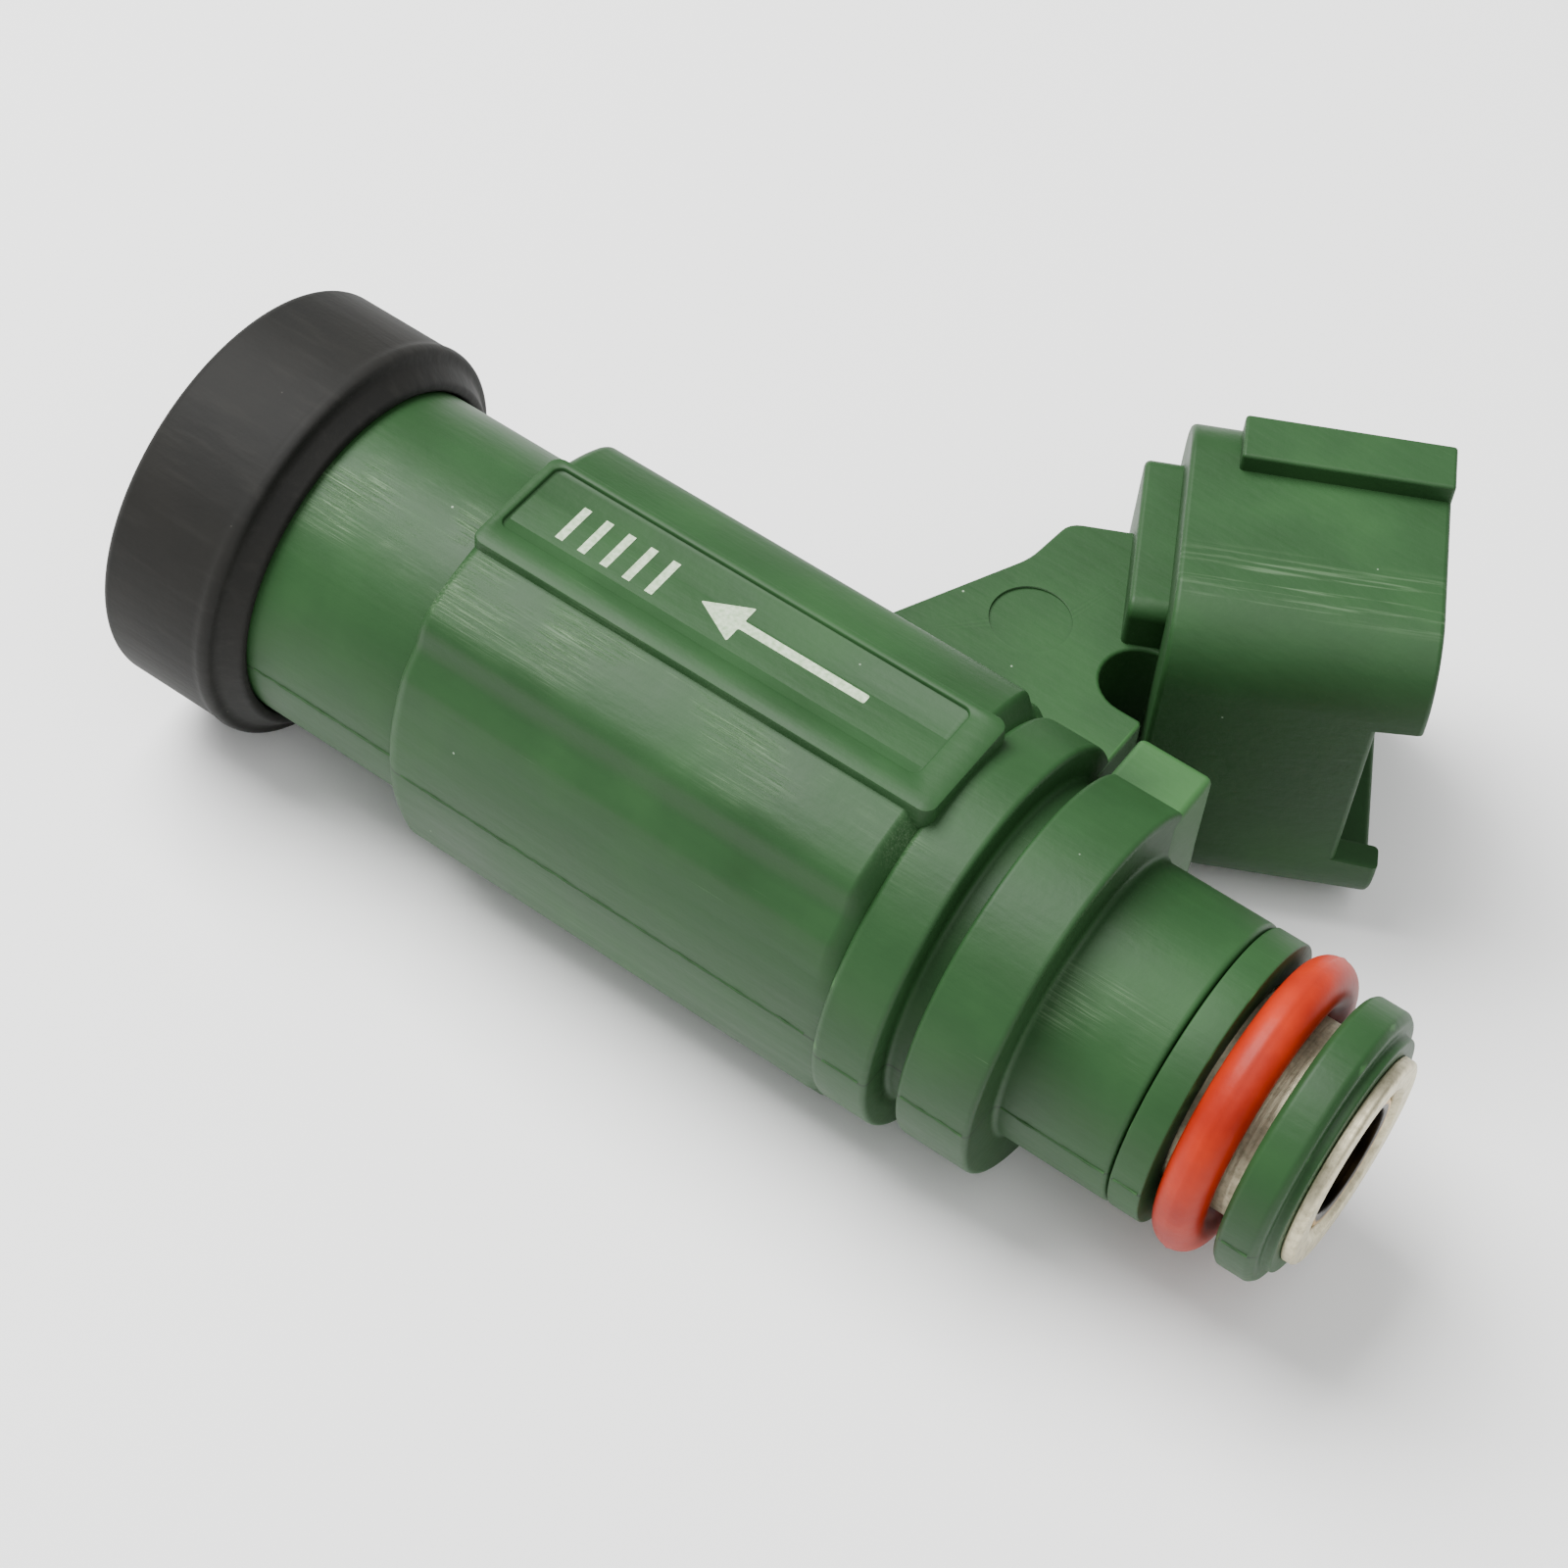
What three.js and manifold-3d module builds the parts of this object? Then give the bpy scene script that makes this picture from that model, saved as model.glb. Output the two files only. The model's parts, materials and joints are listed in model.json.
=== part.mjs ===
// Top-feed fuel injector with a moulded body and a slanted two-pin connector, in millimetres.
// Design frame: the injector's axis is +X, from its nozzle end to its fuel inlet, the connector
// leans to +Y, and +Z is normal to the plane where the two mould halves meet.
import * as THREE from "three";
import { mergeVertices } from "three/addons/utils/BufferGeometryUtils.js";
import Module from "manifold-3d";

const wasm = await Module();
wasm.setup();

// ---- Driving dimensions -------------------------------------------------------------------
// Clearances
const fitGap = 0.3; // between a piece and the bore or socket that holds it
const slipGap = 0.2; // between thin round pieces that slide over each other
const faceGap = 0.1; // between two faces that meet end to end
const seatGap = 0.05; // between the ball and the seat's cone when shut, too small to see
const valveLift = 0.1; // how far the needle rises off its seat
const stopGap = 0.2; // spare travel past the lift, so that nothing touches at full lift

// Lengths along the axis, from the nozzle end to the inlet
const insulatorLip = 3.5; // rubber in front of the body's lower end
const insulatorLength = 7.05;
const insulatorShoulder = 1.15;
const tubeLength = 13.8;
const bodyLength = 27.1;
const collarLength = 2.6;
const clipGrooveWidth = 1.3;
const flangeLength = 4.1;
const cylinderLength = 6.3;
const backupRingLength = 1.7;
const sealSeatLength = 3.8;
const retainerLength = 2.7;
const inletLipLength = 0.6;
const filterInset = 0.8; // of the filter's collar inside the inlet's end
const screenInset = 1.6;

// Radii and walls, from the axis outwards
const needleRadius = 1.2;
const ballRadius = 1.45;
const coreRadius = 4.3;
const sleeveWall = 0.4;
const bobbinWall = 0.7;
const windingDepth = 0.85;
const canWall = 0.5;
const tubeWall = 1.3;
const bodyWall = 3.6; // at the lobes
const collarRise = 1.3; // over the tube
const flangeRise = 0.7;
const clipGrooveDepth = 1.2; // under the flange
const insulatorWall = 1.7;
const inletTubeRadius = 5.3;
const inletLipRise = 0.3;
const inletWall = 2.12; // moulding round the inlet tube
const sealSection = 2.65;
const retainerWall = 1.8;

// Coil and valve stack
const coilLength = 15.2;
const bobbinFlange = 1.2;
const washerThickness = 1.4;
const nozzleRecess = 1.0; // how far the nozzle's face sits inside the insulator
const retainerPlate = 0.5;
const orificeThickness = 0.4;
const seatLength = 2.8;
const seatRadius = 4.1;
const valveBodyRadius = 6.0;
const valveBodyLength = 11.8; // up to its flange
const valveFlangeLength = 4.6;
const guideRadius = 3.0;
const stopThickness = 1.2;
const armatureGap = 1.0; // between the armature and the valve body
const armatureLength = 8.5;
const armatureSpringPocket = 3.0;
const springRadius = 2.1; // to the middle of the wire
const springWire = 0.5;
const springLength = 9.2;
const adjusterLength = 11.7;
const coreBore = 2.7;
const filterBore = 3.9;
const filterLength = 18.5;
const filterCollarLength = 5.5;
const filterWall = 0.7;

// Label panel on the body
const panelHeight = 11.45;
const panelWidth = 7.1;
const panelLength = 27.0;
const panelCorner = 0.7;
const panelRim = 0.95;
const panelRecess = 0.3;

// Connector, its neck and its terminals
const socketAngle = THREE.MathUtils.degToRad(27);
const socketReach = 10.28; // from the collar's rim up to the middle of the socket's root
const socketSetback = 1.08; // of the root behind the body's end
const shroudLength = 13.3;
const shroudHalfWidth = 8.25; // across the injector
const shroudHalfHeight = 10.3;
const shroudCorner = 4.0;
const shroudWall = 1.5;
const shroudFloor = 1.8;
const railLength = 10.8;
const railWidth = 2.9;
const railCentre = 4.7;
const railRise = 1.1;
const rimCutWidth = 11.0;
const rimCutDepth = 2.3;
const latchWidth = 5.0;
const latchLength = 4.0;
const latchRise = 1.4;
const latchSetback = 3.2;
const rootBlockLength = 2.0;
const rootBlockHalfWidth = 5.3;
const rootBlockHalfHeight = 7.1;
const rootBlockCentre = 1.15; // the neck and the root block sit off the socket's middle
const neckHalfThickness = 4.3;
const neckBack = 5.35; // length of the neck's straight top behind the root
const neckTop = 3.4;
const neckLean = 0.3; // of the short steep edge under the neck's top corner
const neckDrop = 3.3;
const neckFootSpan = 11.6; // where the neck leaves the body, behind the body's end
const neckTip = 2.1; // over the collar's rim
const notchSetback = 1.2; // of the notch's middle past the body's end
const notchRadius = 2.1;
const ejectorRadius = 2.15;
const ejectorDepth = 0.2;
const ejectorSetback = 5.4; // from the body's end
const ejectorRise = 4.15; // over the collar's rim
const bladeWidth = 2.2;
const bladeThickness = 0.8;
const bladePitch = 5.2;
const bladeExposed = 7.6;

// Squared side of the flange, which stops the injector from turning
const shoulderReach = 10.0;
const shoulderHalfHeight = 7.2;

// Fineness of round shapes
const coarse = 28;
const medium = 36;
const fine = 48;

// ---- Worked-out stations and radii --------------------------------------------------------
const tubeStart = insulatorLip + fitGap;
const bodyStart = tubeStart + tubeLength;
const bodyEnd = bodyStart + bodyLength;
const collarEnd = bodyEnd + collarLength;
const flangeStart = collarEnd + clipGrooveWidth;
const flangeEnd = flangeStart + flangeLength;
const housingEnd = flangeEnd + cylinderLength;
const backupStart = housingEnd + faceGap;
const sealSeatStart = backupStart + backupRingLength;
const retainerStart = sealSeatStart + sealSeatLength;
const lipStart = retainerStart + retainerLength + faceGap;
const inletEnd = lipStart + inletLipLength;

const sleeveBore = coreRadius + slipGap;
const sleeveRadius = sleeveBore + sleeveWall;
const bobbinBore = sleeveRadius + slipGap;
const bobbinRadius = bobbinBore + bobbinWall;
const windingBore = bobbinRadius + slipGap;
const windingRadius = windingBore + windingDepth;
const bobbinFlangeRadius = windingRadius + slipGap;
const canBore = bobbinFlangeRadius + fitGap;
const canRadius = canBore + canWall;
const coilBore = canRadius + fitGap;
const tubeRadius = coilBore + tubeWall;
const bodyRadius = coilBore + bodyWall;
const collarRadius = tubeRadius + collarRise;
const flangeRadius = tubeRadius + flangeRise;
const insulatorBore = tubeRadius + fitGap;
const insulatorRadius = insulatorBore + insulatorWall;
const inletBore = inletTubeRadius + fitGap;
const cylinderRadius = inletBore + inletWall;
const nozzleBore = valveBodyRadius + fitGap + slipGap;

const retainerPlateStart = nozzleRecess;
const valveBodyStart = retainerPlateStart + retainerPlate + faceGap;
const orificeStart = valveBodyStart + fitGap;
const seatStart = orificeStart + orificeThickness + faceGap;
const seatEnd = seatStart + seatLength;
const valveFlangeStart = valveBodyStart + valveBodyLength;
const valveBodyEnd = valveFlangeStart + valveFlangeLength;
const stopStart = valveBodyEnd - fitGap - stopThickness;
const lowerWasherStart = valveBodyEnd + fitGap;
const bobbinStart = lowerWasherStart + washerThickness + fitGap;
const windingStart = bobbinStart + bobbinFlange + slipGap;
const windingEnd = windingStart + coilLength;
const bobbinEnd = windingEnd + slipGap + bobbinFlange;
const upperWasherStart = bobbinEnd + fitGap;
const canEnd = upperWasherStart + washerThickness;
const blockStart = canEnd + fitGap;
const blockLength = bladeWidth + fitGap;
const blockEnd = blockStart + blockLength;
const coilBoreEnd = blockEnd + fitGap;
const armatureStart = valveBodyEnd + armatureGap;
const armatureEnd = armatureStart + armatureLength;
const coreStart = armatureEnd + valveLift + stopGap;
const springStart = armatureEnd - armatureSpringPocket + valveLift + stopGap;
const adjusterStart = springStart + springLength + faceGap;
const filterStart = inletEnd - filterLength;
const filterCollarStart = inletEnd - filterInset - filterCollarLength;

// ---- Shape helpers ------------------------------------------------------------------------
// A closed three.js geometry as a solid that can be joined and cut.
function solidOf(geometry) {
  const bare = geometry.index ? geometry.toNonIndexed() : geometry.clone();
  bare.deleteAttribute("normal");
  bare.deleteAttribute("uv");
  const merged = mergeVertices(bare, 1e-4);
  return new wasm.Manifold(
    new wasm.Mesh({
      numProp: 3,
      vertProperties: new Float32Array(merged.attributes.position.array),
      triVerts: new Uint32Array(merged.index.array),
    }),
  );
}

function geometryOf(solid) {
  const mesh = solid.getMesh();
  const geometry = new THREE.BufferGeometry();
  geometry.setAttribute("position", new THREE.BufferAttribute(mesh.vertProperties, 3));
  geometry.setIndex(new THREE.BufferAttribute(mesh.triVerts, 1));
  geometry.computeVertexNormals();
  return geometry;
}

// A ring or shaft about the axis, from its [station, radius] outline.
function turned(outline, sides = medium) {
  let area = 0;
  outline.forEach(([x0, r0], i) => {
    const [x1, r1] = outline[(i + 1) % outline.length];
    area += r0 * x1 - r1 * x0;
  });
  const points = (area > 0 ? outline : [...outline].reverse()).map(([x, r]) => new THREE.Vector2(r, x));
  points.push(points[0].clone());
  return solidOf(new THREE.LatheGeometry(points, sides).rotateZ(-Math.PI / 2));
}

// A plain ring or tube: the stretch from x0 to x1 between two radii.
function ring(x0, x1, inner, outer, sides = medium) {
  return turned([[x0, inner], [x0, outer], [x1, outer], [x1, inner]], sides);
}

// A shaft with a solid middle, from its [station, radius] outline.
function shaft(outline, sides = medium) {
  const [first, last] = [outline[0], outline[outline.length - 1]];
  return turned([[first[0], 0], ...outline, [last[0], 0]], sides);
}

// A round cord of the given section bent into a ring about the axis.
function sealRing(station, middleRadius, section, sides = medium) {
  const torus = new THREE.TorusGeometry(middleRadius, section / 2, 10, sides);
  return solidOf(torus.rotateY(Math.PI / 2).translate(station, 0, 0));
}

// An outline in the XY plane, raised from z = low to z = high.
function raised(points, low, high) {
  const shape = new THREE.Shape(points.map(([x, y]) => new THREE.Vector2(x, y)));
  const geometry = new THREE.ExtrudeGeometry(shape, { depth: high - low, bevelEnabled: false });
  return solidOf(geometry.translate(0, 0, low));
}

// An outline in the YZ plane, drawn out along the axis from x = start to x = end.
function drawnOut(points, start, end) {
  const shape = new THREE.Shape(points.map(([y, z]) => new THREE.Vector2(y, z)));
  const geometry = new THREE.ExtrudeGeometry(shape, { depth: end - start, bevelEnabled: false });
  const toAxis = new THREE.Matrix4().makeBasis(
    new THREE.Vector3(0, 1, 0),
    new THREE.Vector3(0, 0, 1),
    new THREE.Vector3(1, 0, 0),
  );
  return solidOf(geometry.applyMatrix4(toAxis).translate(start, 0, 0));
}

function roundedRectangle(halfWidth, halfHeight, corner, curveSteps = 6) {
  const shape = new THREE.Shape();
  const [w, h] = [halfWidth - corner, halfHeight - corner];
  shape.absarc(w, h, corner, 0, Math.PI / 2);
  shape.absarc(-w, h, corner, Math.PI / 2, Math.PI);
  shape.absarc(-w, -h, corner, Math.PI, 1.5 * Math.PI);
  shape.absarc(w, -h, corner, 1.5 * Math.PI, 2 * Math.PI);
  return shape.getPoints(curveSteps).map((p) => [p.x, p.y]);
}

// The socket's own frame: width across the injector, height along Z, and out along the plug.
const plugDirection = new THREE.Vector3(Math.cos(socketAngle), Math.sin(socketAngle), 0);
const acrossDirection = new THREE.Vector3(-Math.sin(socketAngle), Math.cos(socketAngle), 0);
const socketRoot = new THREE.Vector3(bodyEnd - socketSetback, collarRadius + socketReach, 0);
const toSocket = new THREE.Matrix4()
  .makeBasis(acrossDirection, new THREE.Vector3(0, 0, 1), plugDirection)
  .setPosition(socketRoot);

// A [width, height] outline in the socket's frame, from one depth to another along the plug.
function plugged(points, from, to) {
  const shape = new THREE.Shape(points.map(([w, h]) => new THREE.Vector2(w, h)));
  const geometry = new THREE.ExtrudeGeometry(shape, { depth: to - from, bevelEnabled: false });
  return solidOf(geometry.translate(0, 0, from).applyMatrix4(toSocket));
}

function rectangle(x0, x1, y0, y1) {
  return [[x0, y0], [x1, y0], [x1, y1], [x0, y1]];
}

// A point of the socket's middle plane as [x, y], from its depth and its place across.
function socketPoint(depth, across) {
  const p = socketRoot.clone().addScaledVector(plugDirection, depth).addScaledVector(acrossDirection, across);
  return [p.x, p.y];
}

// ---- The moulded housing ------------------------------------------------------------------
// A quarter of the body's section: a lobe that rises from the panel, a ledge below it and a
// nearly flat side. Angles are degrees from +Z, and radii are shares of the body's radius.
const fluteOutline = [
  [0, 0.955], [12, 0.96], [22, 0.972], [30, 0.988], [37, 1], [40, 0.994], [43, 0.958], [47, 0.93],
  [52, 0.93], [55, 0.932], [58, 0.918], [66, 0.89], [74, 0.873], [82, 0.862], [90, 0.858],
];

function bodySection() {
  const quarter = fluteOutline.map(([angle, share]) => {
    const a = THREE.MathUtils.degToRad(angle);
    return [-Math.sin(a) * share * bodyRadius, Math.cos(a) * share * bodyRadius];
  });
  const lower = quarter.slice(0, -1).reverse().map(([y, z]) => [y, -z]);
  const left = [...quarter, ...lower];
  const right = left.slice(1, -1).reverse().map(([y, z]) => [-y, z]);
  return [...left, ...right];
}

function tubularParts() {
  const edge = 0.4;
  const shoulderEase = 0.9;
  const lobeRunout = 1.5;
  const lathed = shaft(
    [
      [tubeStart, tubeRadius - edge], [tubeStart + edge, tubeRadius], [bodyStart + edge, tubeRadius],
      [bodyEnd - 2 * edge, tubeRadius], [bodyEnd, collarRadius],
      [collarEnd - edge, collarRadius], [collarEnd, collarRadius - edge],
      [collarEnd, flangeRadius - clipGrooveDepth], [flangeStart, flangeRadius - clipGrooveDepth],
      [flangeStart, flangeRadius - edge], [flangeStart + edge, flangeRadius],
      [flangeEnd - edge, flangeRadius], [flangeEnd, flangeRadius - edge],
      [flangeEnd, cylinderRadius], [housingEnd, cylinderRadius],
    ],
    fine,
  );
  const envelope = shaft(
    [
      [bodyStart, bodyRadius - shoulderEase], [bodyStart + shoulderEase, bodyRadius + 0.1],
      [bodyEnd - lobeRunout, bodyRadius + 0.1], [bodyEnd - edge, collarRadius - edge],
      [bodyEnd, collarRadius - edge],
    ],
    fine,
  );
  return lathed.add(drawnOut(bodySection(), bodyStart, bodyEnd).intersect(envelope));
}

function labelPanel() {
  const middle = bodyStart + panelLength / 2;
  const plate = (inset) =>
    roundedRectangle(panelLength / 2 - inset, panelWidth / 2 - inset, panelCorner, 3).map(([x, y]) => [
      x + middle,
      y,
    ]);
  const block = raised(plate(0), coilBore, panelHeight);
  return block.subtract(raised(plate(panelRim), panelHeight - panelRecess, panelHeight + 1));
}

function neck() {
  const sideFace = bodyRadius * fluteOutline[fluteOutline.length - 1][1];
  const [topX, topY] = socketPoint(-neckBack, neckTop);
  const outline = [
    [bodyEnd - neckFootSpan, coilBore - fitGap],
    [collarEnd, coilBore - fitGap],
    [collarEnd, collarRadius + neckTip],
    socketPoint(shroudFloor / 2, -shroudHalfWidth + 0.5),
    socketPoint(shroudFloor / 2, neckTop),
    [topX, topY],
    [topX - neckLean, topY - neckDrop],
    [bodyEnd - neckFootSpan, sideFace],
  ];
  const notch = [bodyEnd + notchSetback, collarRadius + neckTip + notchRadius];
  const notchCut = solidOf(
    new THREE.CylinderGeometry(notchRadius, notchRadius, 4 * neckHalfThickness, 24)
      .rotateX(Math.PI / 2)
      .translate(notch[0], notch[1], 0),
  ).add(
    raised(
      rectangle(notch[0], notch[0] + 10, notch[1] - notchRadius, notch[1] + notchRadius),
      -2 * neckHalfThickness,
      2 * neckHalfThickness,
    ),
  );
  let plate = raised(outline, -neckHalfThickness, neckHalfThickness).subtract(notchCut);
  const [ejectorX, ejectorY] = [bodyEnd - ejectorSetback, collarRadius + ejectorRise];
  for (const side of [-1, 1]) {
    const dimple = new THREE.CylinderGeometry(ejectorRadius, ejectorRadius, 2 * ejectorDepth, 24);
    plate = plate.subtract(
      solidOf(dimple.rotateX(Math.PI / 2).translate(ejectorX, ejectorY, side * neckHalfThickness)),
    );
  }
  return plate;
}

function shroud() {
  const outer = plugged(roundedRectangle(shroudHalfWidth, shroudHalfHeight, shroudCorner), 0, shroudLength);
  const rootBlock = plugged(
    roundedRectangle(rootBlockHalfWidth, rootBlockHalfHeight, 1, 3).map(([w, h]) => [w + rootBlockCentre, h]),
    -rootBlockLength,
    shroudFloor / 2,
  );
  let made = outer.add(rootBlock);
  for (const side of [-1, 1]) {
    const [low, high] = [shroudHalfHeight - shroudWall, shroudHalfHeight + railRise].map((h) => side * h);
    const rail = rectangle(
      railCentre - railWidth / 2,
      railCentre + railWidth / 2,
      Math.min(low, high),
      Math.max(low, high),
    );
    made = made.add(plugged(rail, shroudLength - railLength, shroudLength));
  }
  const cavity = plugged(
    roundedRectangle(shroudHalfWidth - shroudWall, shroudHalfHeight - shroudWall, shroudCorner - shroudWall),
    shroudFloor,
    shroudLength + 1,
  );
  const rimCut = plugged(
    rectangle(-shroudHalfWidth - 1, 0, -rimCutWidth / 2, rimCutWidth / 2),
    shroudLength - rimCutDepth,
    shroudLength + 1,
  );
  return made.subtract(cavity).subtract(rimCut).add(latchRamp());
}

// The wedge that the plug's latch snaps over, on the shroud's outer face between the rails.
function latchRamp() {
  const front = shroudLength - latchSetback;
  const foot = shroudHalfWidth - shroudWall / 2;
  const points = [
    socketPoint(front, foot),
    socketPoint(front, shroudHalfWidth + 0.2),
    socketPoint(front - latchLength, shroudHalfWidth + latchRise),
    socketPoint(front - latchLength, foot),
  ];
  return raised(points, -latchWidth / 2, latchWidth / 2);
}

function flangeShoulder() {
  const outline = rectangle(0, shoulderReach, -shoulderHalfHeight, shoulderHalfHeight);
  return drawnOut(outline, flangeStart, flangeEnd);
}

// A terminal's outline in the XY plane: a blade out of the socket's floor, bent down to the coil.
function terminalOutline(grow, tip) {
  const half = bladeWidth / 2 + grow;
  const legX = blockStart + blockLength / 2;
  const bendDepth = (legX - socketRoot.x) / Math.cos(socketAngle);
  const bendOut = half * Math.tan((Math.PI / 2 - socketAngle) / 2);
  const legFoot = canRadius - fitGap - (grow > 0 ? 1 : 0);
  return [
    [legX - half, legFoot],
    [legX + half, legFoot],
    socketPoint(bendDepth + bendOut, -half),
    socketPoint(tip, -half),
    socketPoint(tip, half),
    socketPoint(bendDepth - bendOut, half),
  ];
}

function mouldedHousing() {
  let made = tubularParts().add(labelPanel()).add(neck()).add(shroud()).add(flangeShoulder());
  const bore = shaft(
    [
      [tubeStart - 1, nozzleBore],
      [valveFlangeStart - 2, nozzleBore],
      [valveFlangeStart - 2, coilBore],
      [coilBoreEnd, coilBore],
      [coilBoreEnd, inletBore],
      [housingEnd + 1, inletBore],
    ],
    fine,
  );
  made = made.subtract(bore);
  for (const side of [-1, 1]) {
    const middle = (side * bladePitch) / 2;
    const half = bladeThickness / 2 + fitGap;
    made = made.subtract(raised(terminalOutline(fitGap, shroudFloor + 1), middle - half, middle + half));
  }
  return made;
}

// ---- Rubber, rings and the inlet ----------------------------------------------------------
function lowerInsulator() {
  const edge = 0.5;
  const noseBore = valveBodyRadius + 2 * fitGap;
  return turned(
    [
      [0, noseBore], [0, insulatorRadius - edge], [edge, insulatorRadius],
      [insulatorLength - edge, insulatorRadius + 0.05], [insulatorLength, insulatorRadius - edge],
      [insulatorLength + insulatorShoulder, insulatorBore + 0.4],
      [insulatorLength + insulatorShoulder, insulatorBore],
      [insulatorLip, insulatorBore], [insulatorLip, noseBore],
    ],
    fine,
  );
}

function backupRing() {
  return ring(backupStart, sealSeatStart, inletBore, cylinderRadius, fine);
}

function inletSeal() {
  const middle = inletTubeRadius + faceGap + sealSection / 2;
  return sealRing((sealSeatStart + retainerStart) / 2 - 0.2, middle, sealSection, 40);
}

function sealRetainer() {
  const outer = inletBore + retainerWall;
  const end = retainerStart + retainerLength;
  const edge = 0.35;
  return turned(
    [
      [retainerStart, inletBore], [retainerStart, outer - edge], [retainerStart + edge, outer],
      [end - 2 * edge, outer], [end, outer - 2 * edge], [end, inletBore],
    ],
    fine,
  );
}

function inletTube() {
  const neckStation = coilBoreEnd - blockLength / 2;
  const filterFloor = filterStart - fitGap;
  return turned(
    [
      [coreStart, coreBore], [coreStart, coreRadius], [neckStation, coreRadius],
      [coilBoreEnd + fitGap, inletTubeRadius], [lipStart, inletTubeRadius],
      [lipStart, inletTubeRadius + inletLipRise], [inletEnd, inletTubeRadius + inletLipRise],
      [inletEnd, filterBore], [filterFloor, filterBore], [filterFloor, coreBore],
    ],
    medium,
  );
}

function filterCollar() {
  const outer = filterBore - fitGap;
  return ring(filterCollarStart, inletEnd - filterInset, outer - filterWall, outer, coarse);
}

// The filter's moulded cage: a cup with four long windows.
function filterBasket() {
  const outer = filterBore - fitGap;
  const end = filterCollarStart - faceGap;
  let cage = ring(filterStart, end, outer - filterWall, outer, coarse).add(
    shaft([[filterStart, outer - filterWall / 2], [filterStart + filterWall, outer - filterWall / 2]], coarse),
  );
  const window = (end - filterStart) - 4 * filterWall;
  const middle = filterStart + 2 * filterWall + window / 2;
  for (const wide of [[4 * outer, outer], [outer, 4 * outer]])
    cage = cage.subtract(
      solidOf(new THREE.BoxGeometry(window, wide[0], wide[1]).translate(middle, 0, 0)),
    );
  return cage;
}

function filterScreen() {
  const outer = filterBore - fitGap - filterWall - slipGap;
  const start = filterStart + filterWall + fitGap;
  const wall = 0.2;
  return turned(
    [
      [start, 0], [start, outer], [inletEnd - screenInset, outer], [inletEnd - screenInset, outer - wall],
      [start + wall, outer - wall], [start + wall, 0],
    ],
    coarse,
  );
}

function adjusterSleeve() {
  const outer = coreBore - fitGap;
  return ring(adjusterStart, adjusterStart + adjusterLength, outer - 0.8, outer, coarse);
}

function returnSpring() {
  const turns = 6;
  const length = springLength - springWire;
  class Coil extends THREE.Curve {
    getPoint(t, target = new THREE.Vector3()) {
      const a = 2 * Math.PI * turns * t;
      return target.set(
        springStart + springWire / 2 + length * t,
        springRadius * Math.cos(a),
        springRadius * Math.sin(a),
      );
    }
  }
  const wire = new THREE.Shape().absarc(0, 0, springWire / 2, 0, 2 * Math.PI);
  const geometry = new THREE.ExtrudeGeometry(wire, {
    steps: turns * 10,
    curveSegments: 3,
    extrudePath: new Coil(),
  });
  return solidOf(geometry);
}

// ---- Valve --------------------------------------------------------------------------------
function needle() {
  const ballMiddle = seatStart + (ballRadius + seatGap) * Math.SQRT2;
  const outline = [];
  for (let i = 0; i <= 8; i++) {
    const a = (Math.PI * i) / 10;
    outline.push([ballMiddle - ballRadius * Math.cos(a), ballRadius * Math.sin(a)]);
  }
  const collarTop = stopStart - valveLift - stopGap;
  const [last] = outline[outline.length - 1];
  outline.push([last + 0.3, needleRadius * 0.8], [collarTop - 1.2, needleRadius * 0.8]);
  outline.push([collarTop - 0.8, guideRadius - 0.6], [collarTop, guideRadius - 0.6]);
  outline.push([collarTop, needleRadius], [armatureEnd - armatureSpringPocket, needleRadius]);
  return turned([...outline, [armatureEnd - armatureSpringPocket, 0]], coarse);
}

function armature() {
  const pocketFloor = armatureEnd - armatureSpringPocket;
  const outer = sleeveBore - slipGap;
  return turned(
    [
      [armatureStart, needleRadius + slipGap], [armatureStart, outer], [armatureEnd, outer],
      [armatureEnd, springRadius + springWire], [pocketFloor, springRadius + springWire],
      [pocketFloor, needleRadius + slipGap],
    ],
    coarse,
  );
}

function stopSpacer() {
  return ring(stopStart, stopStart + stopThickness, needleRadius + fitGap, sleeveBore - slipGap, coarse);
}

function valveBody() {
  const pocket = seatRadius + fitGap;
  const sealGroove = valveBodyStart + valveBodyLength / 2;
  return turned(
    [
      [valveBodyStart, pocket], [valveBodyStart, valveBodyRadius],
      [sealGroove - 1, valveBodyRadius], [sealGroove - 1, valveBodyRadius - 1],
      [sealGroove + 1, valveBodyRadius - 1], [sealGroove + 1, valveBodyRadius],
      [valveFlangeStart, valveBodyRadius], [valveFlangeStart, bobbinFlangeRadius],
      [valveBodyEnd, bobbinFlangeRadius], [valveBodyEnd, sleeveBore],
      [stopStart - faceGap, sleeveBore], [stopStart - faceGap, guideRadius],
      [seatEnd + faceGap, guideRadius], [seatEnd + faceGap, pocket],
    ],
    medium,
  );
}

function lowerSeal() {
  const section = 1.2;
  const middle = valveBodyRadius - 1 + faceGap + section / 2;
  return sealRing(valveBodyStart + valveBodyLength / 2, middle, section, coarse);
}

function valveSeat() {
  const throat = 0.5;
  const coneStart = seatStart + throat; // a 45-degree cone with its apex on the seat's lower face
  return turned(
    [
      [seatStart, throat], [seatStart, seatRadius], [seatEnd, seatRadius],
      [seatEnd, throat + seatEnd - coneStart], [coneStart, throat],
    ],
    coarse,
  );
}

function orificePlate() {
  const holes = 4;
  const holeRadius = 0.18;
  const circle = 0.64;
  let plate = shaft([[orificeStart, seatRadius], [orificeStart + orificeThickness, seatRadius]], coarse);
  for (let i = 0; i < holes; i++) {
    const a = (2 * Math.PI * (i + 0.5)) / holes;
    const hole = new THREE.CylinderGeometry(holeRadius, holeRadius, 3, 8).rotateZ(Math.PI / 2);
    plate = plate.subtract(
      solidOf(hole.translate(orificeStart, circle * Math.cos(a), circle * Math.sin(a))),
    );
  }
  return plate;
}

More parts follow.
